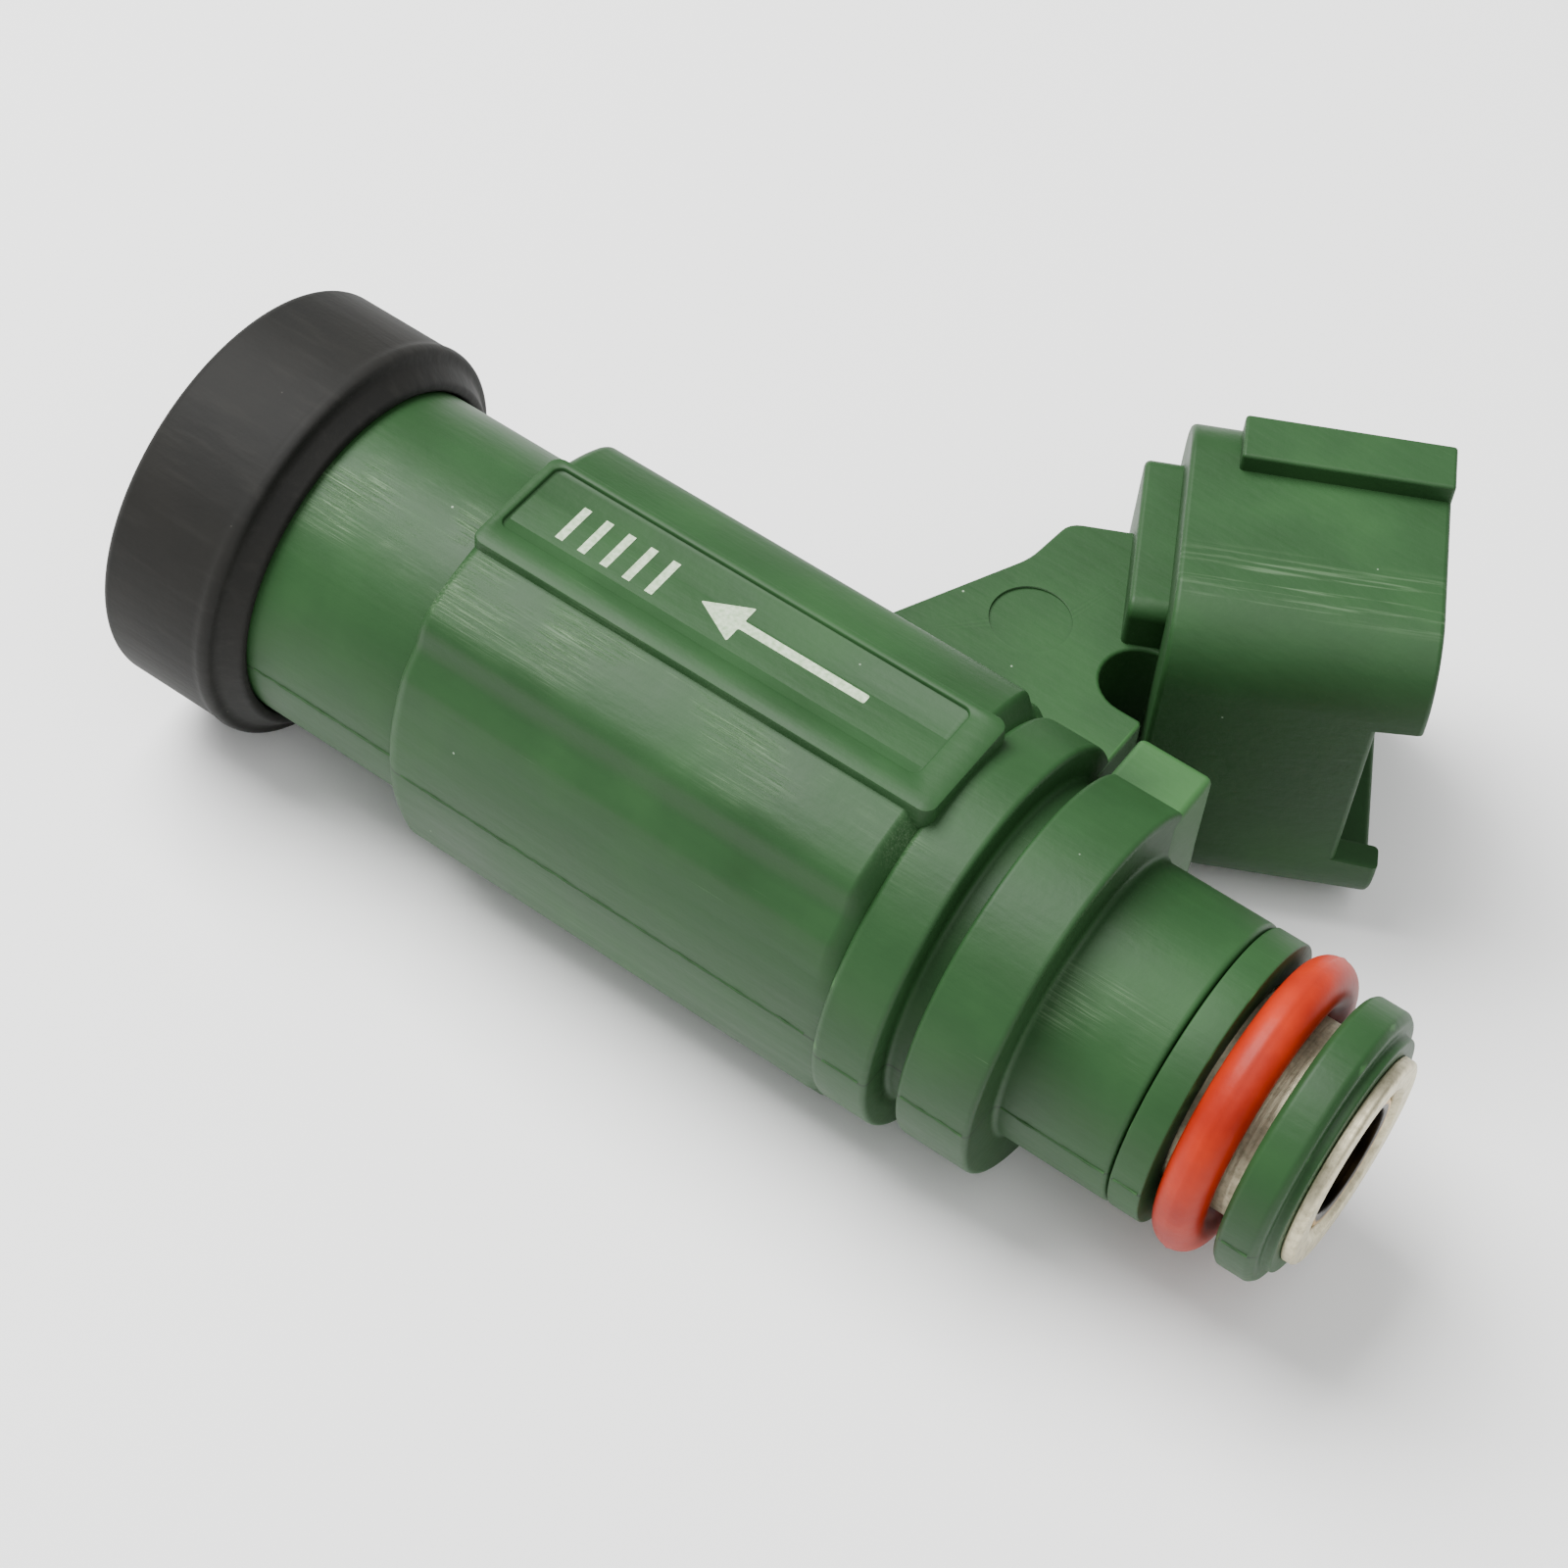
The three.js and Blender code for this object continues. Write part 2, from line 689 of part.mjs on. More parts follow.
function plateRetainer() {
  return ring(retainerPlateStart, retainerPlateStart + retainerPlate, 2.2, valveBodyRadius, medium);
}

// ---- Coil ---------------------------------------------------------------------------------
function magneticSleeve() {
  return ring(lowerWasherStart, coreStart + 2.2, sleeveBore, sleeveRadius, coarse);
}

function coilBobbin() {
  return turned(
    [
      [bobbinStart, bobbinBore], [bobbinStart, bobbinFlangeRadius],
      [bobbinStart + bobbinFlange, bobbinFlangeRadius], [bobbinStart + bobbinFlange, bobbinRadius],
      [bobbinEnd - bobbinFlange, bobbinRadius], [bobbinEnd - bobbinFlange, bobbinFlangeRadius],
      [bobbinEnd, bobbinFlangeRadius], [bobbinEnd, bobbinBore],
    ],
    coarse,
  );
}

function coilWinding() {
  return ring(windingStart, windingEnd, windingBore, windingRadius, medium);
}

// The can is crimped over the valve body's flange at its lower end.
function solenoidCan() {
  const lip = valveFlangeStart - fitGap;
  return turned(
    [
      [lip - 0.8, nozzleBore], [lip - 0.8, canRadius], [canEnd, canRadius], [canEnd, canBore],
      [lip, canBore], [lip, nozzleBore],
    ],
    medium,
  );
}

function lowerWasher() {
  return ring(lowerWasherStart, lowerWasherStart + washerThickness, bobbinBore, bobbinFlangeRadius, coarse);
}

const leadRadius = 0.3;
const leadHeight = bobbinFlangeRadius - 0.8;

function upperWasher() {
  let washer = ring(upperWasherStart, canEnd, coreRadius + fitGap, bobbinFlangeRadius, coarse);
  for (const side of [-1, 1]) {
    const notch = new THREE.BoxGeometry(3, 4 * leadRadius + 1, 4 * leadRadius);
    washer = washer.subtract(
      solidOf(notch.translate((upperWasherStart + canEnd) / 2, leadHeight + 0.3, (side * bladePitch) / 2)),
    );
  }
  return washer;
}

function terminalBlock() {
  return ring(blockStart, blockEnd, inletBore, canRadius - fitGap, coarse);
}

function terminal(side) {
  const middle = (side * bladePitch) / 2;
  const outline = terminalOutline(0, shroudFloor + bladeExposed);
  return raised(outline, middle - bladeThickness / 2, middle + bladeThickness / 2);
}

function coilLead(side) {
  const length = blockStart - bobbinEnd - 2 * faceGap;
  const wire = new THREE.CylinderGeometry(leadRadius, leadRadius, length, 8).rotateZ(Math.PI / 2);
  return solidOf(wire.translate((blockStart + bobbinEnd) / 2, leadHeight, (side * bladePitch) / 2));
}

// ---- Materials ----------------------------------------------------------------------------
const finish = (color, roughness, metalness) =>
  new THREE.MeshStandardMaterial({ color, roughness, metalness });
const glassFilledNylon = finish("#4f7a4e", 0.5, 0);
const blackRubber = finish("#35342f", 0.75, 0);
const orangeFluororubber = finish("#c8482c", 0.5, 0);
const machinedSteel = finish("#c9cac6", 0.35, 1);
const brass = finish("#c9a455", 0.35, 1);
const tinnedCopper = finish("#d3d3d0", 0.3, 1);
const copperWire = finish("#a9572e", 0.4, 1);
const naturalNylon = finish("#d9d3c0", 0.5, 0);
const screenNylon = finish("#8f9089", 0.6, 0);

// ---- Assembly -----------------------------------------------------------------------------
const pieces = [
  ["moulded_housing", mouldedHousing(), glassFilledNylon],
  ["lower_insulator", lowerInsulator(), blackRubber],
  ["backup_ring", backupRing(), glassFilledNylon],
  ["inlet_o_ring", inletSeal(), orangeFluororubber],
  ["o_ring_retainer", sealRetainer(), glassFilledNylon],
  ["inlet_tube", inletTube(), machinedSteel],
  ["filter_collar", filterCollar(), brass],
  ["filter_basket", filterBasket(), naturalNylon],
  ["filter_screen", filterScreen(), screenNylon],
  ["adjuster_sleeve", adjusterSleeve(), machinedSteel],
  ["return_spring", returnSpring(), machinedSteel],
  ["armature", armature(), machinedSteel],
  ["needle", needle(), machinedSteel],
  ["stop_spacer", stopSpacer(), machinedSteel],
  ["valve_body", valveBody(), machinedSteel],
  ["lower_seal", lowerSeal(), blackRubber],
  ["valve_seat", valveSeat(), machinedSteel],
  ["orifice_plate", orificePlate(), machinedSteel],
  ["plate_retainer", plateRetainer(), machinedSteel],
  ["magnetic_break_sleeve", magneticSleeve(), machinedSteel],
  ["coil_bobbin", coilBobbin(), naturalNylon],
  ["coil_winding", coilWinding(), copperWire],
  ["solenoid_can", solenoidCan(), machinedSteel],
  ["lower_flux_washer", lowerWasher(), machinedSteel],
  ["upper_flux_washer", upperWasher(), machinedSteel],
  ["terminal_block", terminalBlock(), naturalNylon],
  ["terminal_a", terminal(1), tinnedCopper],
  ["terminal_b", terminal(-1), tinnedCopper],
  ["coil_lead_a", coilLead(1), copperWire],
  ["coil_lead_b", coilLead(-1), copperWire],
];

const injector = new THREE.Group();
for (const [name, solid, material] of pieces) {
  const mesh = new THREE.Mesh(geometryOf(solid), material);
  mesh.name = name;
  injector.add(mesh);
}

// The part's origin is the middle of the bottom of its box, as it lies on its side.
const box = new THREE.Box3().setFromObject(injector);
injector.position.set(-(box.min.x + box.max.x) / 2, -(box.min.y + box.max.y) / 2, -box.min.z);
const part = new THREE.Group();
part.add(injector);

export default part;
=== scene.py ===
import json
import math

import bmesh
import bpy
from mathutils import Matrix, Vector


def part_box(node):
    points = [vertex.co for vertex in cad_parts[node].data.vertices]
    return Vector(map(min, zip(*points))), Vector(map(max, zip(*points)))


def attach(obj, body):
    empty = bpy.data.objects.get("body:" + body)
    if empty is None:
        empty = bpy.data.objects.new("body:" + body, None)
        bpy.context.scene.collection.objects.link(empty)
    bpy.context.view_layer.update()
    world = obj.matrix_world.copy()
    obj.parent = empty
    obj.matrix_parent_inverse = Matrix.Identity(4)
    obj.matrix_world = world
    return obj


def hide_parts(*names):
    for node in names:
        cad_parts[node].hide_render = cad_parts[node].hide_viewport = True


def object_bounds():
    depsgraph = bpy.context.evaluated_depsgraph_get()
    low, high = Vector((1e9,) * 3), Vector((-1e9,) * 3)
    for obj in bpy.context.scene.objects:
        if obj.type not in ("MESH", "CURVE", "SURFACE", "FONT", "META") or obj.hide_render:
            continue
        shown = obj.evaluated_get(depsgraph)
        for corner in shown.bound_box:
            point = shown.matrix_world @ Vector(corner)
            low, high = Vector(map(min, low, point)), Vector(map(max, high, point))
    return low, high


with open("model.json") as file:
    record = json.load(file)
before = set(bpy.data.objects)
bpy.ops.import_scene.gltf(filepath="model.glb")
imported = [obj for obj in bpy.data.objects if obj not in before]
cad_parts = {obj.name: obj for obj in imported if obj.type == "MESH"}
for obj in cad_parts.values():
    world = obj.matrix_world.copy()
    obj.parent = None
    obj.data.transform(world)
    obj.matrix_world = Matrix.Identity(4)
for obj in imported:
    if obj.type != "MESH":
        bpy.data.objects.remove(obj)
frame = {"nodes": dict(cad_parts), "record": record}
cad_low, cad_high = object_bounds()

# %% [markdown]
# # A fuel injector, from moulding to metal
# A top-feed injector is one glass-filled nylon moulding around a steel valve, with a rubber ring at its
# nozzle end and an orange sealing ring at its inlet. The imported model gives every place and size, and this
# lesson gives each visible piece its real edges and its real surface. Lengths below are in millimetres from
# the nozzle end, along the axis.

MM = 0.001
BODY = "injector_body"
SOCKET_ANGLE = math.radians(27)  # how far the plug leans from the axis


def middle(node):
    """The middle of a node's box, in metres."""
    low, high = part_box(node)
    return (low + high) / 2


def outer_radius(node):
    """Half of a round node's height, in millimetres."""
    low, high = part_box(node)
    return (high.z - low.z) / 2 / MM


NOZZLE = Vector((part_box("lower_insulator")[0].x, middle("inlet_tube").y, middle("inlet_tube").z))


def station(node, end):
    """Where a node starts (end 0) or stops (end 1) along the axis, in millimetres from the nozzle end."""
    return (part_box(node)[end].x - NOZZLE.x) / MM


def place(x, y, z):
    """A point in millimetres from the nozzle end and the axis, as a point in the shared frame."""
    return NOZZLE + Vector((x, y, z)) * MM


print("box in mm:", [round(v / MM, 2) for v in cad_high - cad_low])

# %% [markdown]
# ## The camera
# It looks down on the injector from beside its inlet end, as a person does who leans over a table. It is
# placed by angles round a target on the axis, so that it stays right when the part's place in the frame
# changes.

# %% Camera
VIEW_AZIMUTH = math.radians(30.75)
VIEW_ELEVATION = math.radians(53.2)
VIEW_ROLL = math.radians(6.1)
VIEW_DISTANCE = 172.3 * MM
VIEW_TARGET = place(33.9, 1.4, 0)
VIEW_LENS = 78.9

camera_data = bpy.data.cameras.new("camera")
camera_data.lens = VIEW_LENS
camera_data.sensor_width = 36
camera_data.clip_start = 0.005
camera = bpy.data.objects.new("camera", camera_data)
bpy.context.scene.collection.objects.link(camera)
level = Vector((math.cos(VIEW_AZIMUTH), math.sin(VIEW_AZIMUTH), 0))
back = Vector((
    math.sin(VIEW_AZIMUTH) * math.cos(VIEW_ELEVATION),
    -math.cos(VIEW_AZIMUTH) * math.cos(VIEW_ELEVATION),
    math.sin(VIEW_ELEVATION),
))
rise = back.cross(level)
right = level * math.cos(VIEW_ROLL) + rise * math.sin(VIEW_ROLL)
up = back.cross(right)
camera.matrix_world = Matrix.Translation(VIEW_TARGET + back * VIEW_DISTANCE) @ Matrix(
    (right, up, back)
).transposed().to_4x4()
bpy.context.scene.camera = camera
print("camera at mm:", [round(v / MM, 1) for v in camera.matrix_world.translation])

# %% [markdown]
# ## Floor and light
# A large soft light stands above the nozzle end, to the left of the camera. It gives the broad, pale
# highlights along the round parts, without shining straight back at the camera. A second, weaker light and
# a pale world keep the shaded side of the green moulding readable, and the table top is plain and nearly
# white.

# %% Helpers for colours and material nodes


def linear(code):
    """An sRGB hex code as a linear colour with alpha."""
    channels = [int(code[i : i + 2], 16) / 255 for i in (1, 3, 5)]
    return (*[c / 12.92 if c <= 0.04045 else ((c + 0.055) / 1.055) ** 2.4 for c in channels], 1.0)


def add(tree, kind, inputs=None, stops=None, **settings):
    """A node. Each input takes a value, a socket, or a node whose first working output is linked."""
    made = tree.nodes.new(kind)
    for name, value in settings.items():
        setattr(made, name, value)
    for name, value in (inputs or {}).items():
        if isinstance(value, bpy.types.Node):
            value = next(output for output in value.outputs if output.enabled)
        if isinstance(value, bpy.types.NodeSocket):
            tree.links.new(value, made.inputs[name])
        else:
            made.inputs[name].default_value = value
    if stops:
        elements = made.color_ramp.elements
        while len(elements) < len(stops):
            elements.new(0.5)
        for element, (position, code) in zip(elements, stops):
            element.position = position
            element.color = linear(code)
    return made


# %% Floor
TABLE_HALF = 0.6  # metres


def flat_stage(name, colour):
    """A square table top under the part's lowest point."""
    mesh = bpy.data.meshes.new(name)
    half = TABLE_HALF
    height = cad_low.z
    mesh.from_pydata(
        [(-half, -half, height), (half, -half, height), (half, half, height), (-half, half, height)],
        [],
        [(0, 1, 2, 3)],
    )
    made = bpy.data.objects.new(name, mesh)
    bpy.context.scene.collection.objects.link(made)
    material = bpy.data.materials.new(name + "_white")
    material.use_nodes = True
    surface = material.node_tree.nodes["Principled BSDF"]
    surface.inputs["Base Color"].default_value = linear(colour)
    surface.inputs["Roughness"].default_value = 0.9
    mesh.materials.append(material)


flat_stage("table_top", "#FBFBFA")
print("table top at mm:", round(cad_low.z / MM, 2))


# %% Lights
def soft_light(name, azimuth, elevation, distance, size, power):
    """A square light that faces the injector, placed by angles in degrees and metres."""
    data = bpy.data.lights.new(name, "AREA")
    data.size = size
    data.energy = power
    made = bpy.data.objects.new(name, data)
    a, e = math.radians(azimuth), math.radians(elevation)
    away = Vector((math.sin(a) * math.cos(e), -math.cos(a) * math.cos(e), math.sin(e)))
    made.location = VIEW_TARGET + away * distance
    made.rotation_euler = (-away).to_track_quat("-Z", "Y").to_euler()
    bpy.context.scene.collection.objects.link(made)


soft_light("window", azimuth=-92, elevation=62, distance=0.5, size=0.34, power=6.4)
soft_light("room", azimuth=60, elevation=62, distance=0.6, size=0.5, power=2.0)
world = bpy.data.worlds.new("bright_room")
bpy.context.scene.world = world
world.use_nodes = True
world.node_tree.nodes["Background"].inputs["Color"].default_value = linear("#F7F9FA")
world.node_tree.nodes["Background"].inputs["Strength"].default_value = 0.5
print("lights:", [light.name for light in bpy.data.lights])

# %% [markdown]
# ## Glass-filled nylon
# The housing is nylon 6/6 with short glass fibres, moulded in green. The fibres give it a slightly cloudy
# colour and a satin surface. Handling leaves pale scuffs along its high lobes and fine crossing scratches,
# and edges go paler. Pale bands on the socket's corner are a painted highlight, and the inside corners and
# the thin line where the mould halves meet are darkened as painted shade. Every mark is laid over the colour
# below it by a soft area, so each one can be read, moved or left out on its own.

# %% Surfaces: the start that every finish shares
def finish(name, colour, roughness, metallic=0.0, ior=1.5, sheen_share=0.5):
    """A material with its constants set, and its tree, surface shader and place on the injector."""
    material = bpy.data.materials.new(name)
    material.use_nodes = True
    tree = material.node_tree
    surface = tree.nodes["Principled BSDF"]
    surface.inputs["Base Color"].default_value = linear(colour)
    surface.inputs["Roughness"].default_value = roughness
    surface.inputs["Metallic"].default_value = metallic
    surface.inputs["IOR"].default_value = ior
    surface.inputs["Specular IOR Level"].default_value = sheen_share
    coordinates = add(tree, "ShaderNodeTexCoord")
    to_nozzle = {"Vector": coordinates.outputs["Object"], "Location": tuple(-c for c in NOZZLE)}
    centred = add(tree, "ShaderNodeMapping", to_nozzle)
    print("finish:", name)
    return material, tree, surface, centred


def per_metre(size_mm):
    """The texture scale that gives a feature of that size."""
    return 1 / (size_mm * MM)


# %% Marks: streaks, soft areas, laid colours and relief
def streaks(tree, spot, turn_degrees, along, across, detail, roughness=0.5):
    """Noise drawn out along the axis, or turned from it: features of along by across millimetres."""
    turned_spot = add(
        tree,
        "ShaderNodeMapping",
        {
            "Vector": spot,
            "Rotation": (0, 0, math.radians(turn_degrees)),
            "Scale": (per_metre(along), per_metre(across), per_metre(across)),
        },
    )
    pattern = {"Vector": turned_spot, "Scale": 1.0, "Detail": detail, "Roughness": roughness}
    return add(tree, "ShaderNodeTexNoise", pattern)


def soft_area(tree, limits, unit=1.0):
    """1 where each (value, none, full) is past its full end, 0 where one is before its end of none."""
    area = None
    for value, none, full in limits:
        slope = {"Value": value, "From Min": none * unit, "From Max": full * unit}
        side = add(tree, "ShaderNodeMapRange", slope, interpolation_type="SMOOTHSTEP")
        area = add(tree, "ShaderNodeMath", {0: area, 1: side}, operation="MULTIPLY") if area else side
    return area


def laid(tree, base, area, strength, code):
    """The base colour with another laid over it, by the area times the strength."""
    share = add(tree, "ShaderNodeMath", {0: area, 1: strength}, operation="MULTIPLY")
    return add(tree, "ShaderNodeMix", {0: share, 6: base, 7: linear(code)}, data_type="RGBA")


def relief(tree, surface, layers):
    """Height layers of (value, depth in millimetres), pressed into the surface one after another."""
    pressed = {}
    for height, depth in layers:
        step = {"Height": height, "Distance": depth * MM, "Strength": 1.0, **pressed}
        pressed = {"Normal": add(tree, "ShaderNodeBump", step)}
    tree.links.new(pressed["Normal"].outputs["Normal"], surface.inputs["Normal"])


# %% Where the green nylon is rubbed, and where a highlight is painted on it
def rubbed_body(tree, spot):
    """The lobe beside the label panel, the crown of the tube and, more faintly, the inlet spigot."""
    parts = add(tree, "ShaderNodeSeparateXYZ", {"Vector": spot})
    along, across, height = (parts.outputs[axis] for axis in "XYZ")
    lobe = [(across, -7.6, -5.8), (across, -3.1, -3.6), (height, 7.5, 8.5), (along, 46.5, 41.0)]
    tube = [(across, -4.2, -3.0), (across, 0.4, -1.2), (height, 6.0, 8.0), (along, 17.2, 16.5)]
    spigot = [(across, -6.2, -5.0), (across, -2.2, -3.4), (along, 52.6, 53.2), (along, 60.0, 56.0)]
    spigot.append((height, 4.0, 5.0))
    on_spigot = add(tree, "ShaderNodeMath", {0: soft_area(tree, spigot, MM), 1: 0.45}, operation="MULTIPLY")
    on_ends = add(tree, "ShaderNodeMath", {0: on_spigot, 1: soft_area(tree, tube, MM)}, operation="MAXIMUM")
    return add(tree, "ShaderNodeMath", {0: soft_area(tree, lobe, MM), 1: on_ends}, operation="MAXIMUM")


def painted_plug_highlight(tree, spot):
    """Painted highlight: pale bands along the socket's near corner, drawn out in the plug's direction."""
    along_plug = add(tree, "ShaderNodeMapping", {"Vector": spot, "Rotation": (0, 0, -SOCKET_ANGLE)})
    parts = add(tree, "ShaderNodeSeparateXYZ", {"Vector": along_plug})
    outward, sideways, height = (parts.outputs[axis] for axis in "XYZ")
    corner = [(sideways, -2.6, -4.0), (sideways, -7.0, -5.8), (height, 8.5, 9.5), (outward, 45.0, 54.0)]
    bands = soft_area(tree, [(streaks(tree, along_plug, 0, 9.0, 0.35, 5), 0.5, 0.62)])
    on_corner = add(tree, "ShaderNodeMath", {0: bands, 1: soft_area(tree, corner, MM)}, operation="MULTIPLY")
    return add(tree, "ShaderNodeMath", {0: on_corner, 1: 0.5}, operation="MULTIPLY")


def crossing_hairs(tree, spot):
    """Hairline scratches in three directions, each direction fainter than the one before."""
    hairs = 0.0
    for turn, fineness, strength in ((20, 0.11, 1.0), (-32, 0.14, 0.7), (4, 0.2, 0.5)):
        thread = soft_area(tree, [(streaks(tree, spot, turn, 5.0, fineness, 6, 0.65), 0.50, 0.66)])
        hair = add(tree, "ShaderNodeMath", {0: thread, 1: strength}, operation="MULTIPLY")
        hairs = add(tree, "ShaderNodeMath", {0: hairs, 1: hair}, operation="MAXIMUM")
    return hairs


def painted_seam_shade(tree, spot):
    """A thin dark line of painted shade along the side that shows, where the two mould halves meet."""
    parts = add(tree, "ShaderNodeSeparateXYZ", {"Vector": spot})
    level = add(tree, "ShaderNodeMath", {0: parts.outputs["Z"]}, operation="ABSOLUTE")
    return soft_area(tree, [(level, 0.11, 0.05), (parts.outputs["Y"], -6.8, -7.2)], MM)


# %% Green nylon
def moulded_nylon():
    # Satin with a cloudy green, a grain of about half a millimetre and pale scuffs along the lobes.
    name = "moulded_glass_filled_nylon"
    material, tree, surface, spot = finish(name, "#203E1F", 0.52, ior=1.53, sheen_share=0.22)
    clouds = add(tree, "ShaderNodeTexNoise", {"Vector": spot, "Scale": per_metre(7), "Detail": 5})
    grain = add(tree, "ShaderNodeTexNoise", {"Vector": spot, "Scale": per_metre(0.45), "Detail": 3})
    patches = add(tree, "ShaderNodeTexNoise", {"Vector": spot, "Scale": per_metre(5.5), "Detail": 3})
    fibres = streaks(tree, spot, 0, 3.0, 0.5, 4)
    greens = [(0.3, "#1C391B"), (0.55, "#214120"), (0.75, "#284B26")]
    base = add(tree, "ShaderNodeValToRGB", {"Fac": clouds}, stops=greens)
    base = laid(tree, base, fibres, 0.35, "#294D27")

    # Scuffs come in patches of hairs, over a faint even haze.
    # Pale bands on the socket's corner are laid with them as a painted highlight.
    haze = add(tree, "ShaderNodeMath", {0: crossing_hairs(tree, spot), 1: 0.1}, operation="ADD")
    patch = soft_area(tree, [(patches, 0.40, 0.66)])
    patchy = add(tree, "ShaderNodeMath", {0: haze, 1: patch}, operation="MULTIPLY")
    on_body = add(tree, "ShaderNodeMath", {0: rubbed_body(tree, spot), 1: patchy}, operation="MULTIPLY")
    scuff_and_plug_highlight = add(tree, "ShaderNodeMath", {0: on_body, 1: painted_plug_highlight(tree, spot)}, operation="MAXIMUM")
    base = laid(tree, base, scuff_and_plug_highlight, 0.5, "#7D9776")
    # Painted shade: the thin line where the mould halves meet is darkened.
    base = laid(tree, base, painted_seam_shade(tree, spot), 0.8, "#10280F")

    # Thin scratches cross all of it, and dust sits in single specks.
    scratches = streaks(tree, spot, -34, 9.0, 0.12, 6, 0.75)
    base = laid(tree, base, soft_area(tree, [(scratches, 0.64, 0.72), (patches, 0.5, 0.7)]), 0.35, "#6F8C69")
    specks = add(tree, "ShaderNodeTexVoronoi", {"Vector": spot, "Scale": per_metre(3.2)})
    base = laid(tree, base, soft_area(tree, [(specks, 0.026, 0.014)]), 1.0, "#7E937A")

    # Edges go paler, and inside corners are darkened as painted shade.
    bend = add(tree, "ShaderNodeNewGeometry").outputs["Pointiness"]
    base = laid(tree, base, soft_area(tree, [(bend, 0.54, 0.66)]), 0.45, "#44703F")
    base = laid(tree, base, soft_area(tree, [(bend, 0.47, 0.40)]), 0.55, "#10280F")
    tree.links.new(base.outputs[2], surface.inputs["Base Color"])
    satin = {"Value": clouds, "From Min": 0.3, "From Max": 0.7, "To Min": 0.48, "To Max": 0.58}
    tree.links.new(add(tree, "ShaderNodeMapRange", satin).outputs["Result"], surface.inputs["Roughness"])
    relief(tree, surface, [(grain, 0.012), (fibres, 0.02), (scuff_and_plug_highlight, 0.02)])
    return material


NYLON = moulded_nylon()
print("green nylon:", len(NYLON.node_tree.nodes), "nodes")

# %% [markdown]
# ## Rubber, steel and brass
# The insulator is a carbon-black rubber: matt, warm and a little dusty. The sealing ring is an orange-red
# fluororubber with a smoother skin. The inlet tube is turned steel, with fine rings from the tool and a few
# marks.


# %% Rubbers
def black_rubber():
    # Carbon-filled rubber is matt, with a skin that is slightly uneven and dusty where it has been handled.
    name = "moulded_black_rubber"
    material, tree, surface, spot = finish(name, "#121110", 0.7, ior=1.52, sheen_share=0.22)
    clouds = add(tree, "ShaderNodeTexNoise", {"Vector": spot, "Scale": per_metre(6), "Detail": 6})
    skin = add(tree, "ShaderNodeTexNoise", {"Vector": spot, "Scale": per_metre(0.3), "Detail": 2})
    wiped = streaks(tree, spot, 0, 5.0, 0.7, 5)
    base = add(tree, "ShaderNodeValToRGB", {"Fac": clouds}, stops=[(0.3, "#11110F"), (0.7, "#191815")])
    base = laid(tree, base, soft_area(tree, [(wiped, 0.5, 0.75)]), 0.4, "#22211E")
    specks = add(tree, "ShaderNodeTexVoronoi", {"Vector": spot, "Scale": per_metre(3.6)})
    base = laid(tree, base, soft_area(tree, [(specks, 0.026, 0.014)]), 1.0, "#4A4843")
    tree.links.new(base.outputs[2], surface.inputs["Base Color"])
    relief(tree, surface, [(skin, 0.01), (wiped, 0.03)])
    return material


def orange_rubber():
    # Fluororubber is smooth from a polished mould, with a soft gloss and a slightly deeper red in patches.
    name = "moulded_orange_fluororubber"
    material, tree, surface, spot = finish(name, "#A62408", 0.45, ior=1.4, sheen_share=0.3)
    clouds = add(tree, "ShaderNodeTexNoise", {"Vector": spot, "Scale": per_metre(3), "Detail": 5})
    skin = add(tree, "ShaderNodeTexNoise", {"Vector": spot, "Scale": per_metre(0.35), "Detail": 3})
    base = add(tree, "ShaderNodeValToRGB", {"Fac": clouds}, stops=[(0.3, "#8E1A06"), (0.7, "#AC2A0A")])
    tree.links.new(base.outputs["Color"], surface.inputs["Base Color"])
    relief(tree, surface, [(skin, 0.012), (clouds, 0.05)])
    return material


BLACK_RUBBER = black_rubber()
ORANGE_RUBBER = orange_rubber()

# %% Metals
# Inside this radius the metals are darkened as painted shade.
BORE_SHADE_RADIUS = outer_radius("filter_collar") - 0.25


def turned_metal(name, dark, light, roughness, ring_pitch):
    # Turning leaves fine rings round the axis.
    # Inside the narrow bores the metal is darkened as painted shade.
    material, tree, surface, spot = finish(name, light, roughness, metallic=1.0)
    rings = streaks(tree, spot, 0, ring_pitch, 12, 3)
    blotches = {"Vector": spot, "Scale": per_metre(0.5), "Detail": 7, "Roughness": 0.65}
    stains = add(tree, "ShaderNodeTexNoise", blotches)
    base = add(tree, "ShaderNodeValToRGB", {"Fac": stains}, stops=[(0.25, dark), (0.55, light)])
    flat = add(tree, "ShaderNodeVectorMath", {0: spot, 1: (0.0, 1.0, 1.0)}, operation="MULTIPLY")
    radius = add(tree, "ShaderNodeVectorMath", {0: flat}, operation="LENGTH")
    bore_shade = soft_area(tree, [(radius, BORE_SHADE_RADIUS, BORE_SHADE_RADIUS - 0.2)], MM)
    base = laid(tree, base, bore_shade, 1.0, "#1A140B")
    tree.links.new(base.outputs[2], surface.inputs["Base Color"])
    gloss = {"Value": stains, "To Min": roughness + 0.18, "To Max": roughness - 0.08}
    tree.links.new(add(tree, "ShaderNodeMapRange", gloss).outputs["Result"], surface.inputs["Roughness"])
    relief(tree, surface, [(rings, 0.02), (stains, 0.02)])
    return material


STEEL = turned_metal("turned_stainless_steel", "#9A927A", "#C8C0A4", 0.45, 0.14)
BRASS = turned_metal("drawn_brass", "#7A5C24", "#C29A4C", 0.32, 0.2)
COPPER = turned_metal("enamelled_copper_wire", "#7A3A1C", "#B8683A", 0.35, 0.25)
TIN = turned_metal("tin_plated_copper", "#A9A9A6", "#DADAD7", 0.3, 0.5)
# This is the radius inside which the metals carry painted shade.
print("varnish inside a radius of", round(BORE_SHADE_RADIUS, 2), "mm")


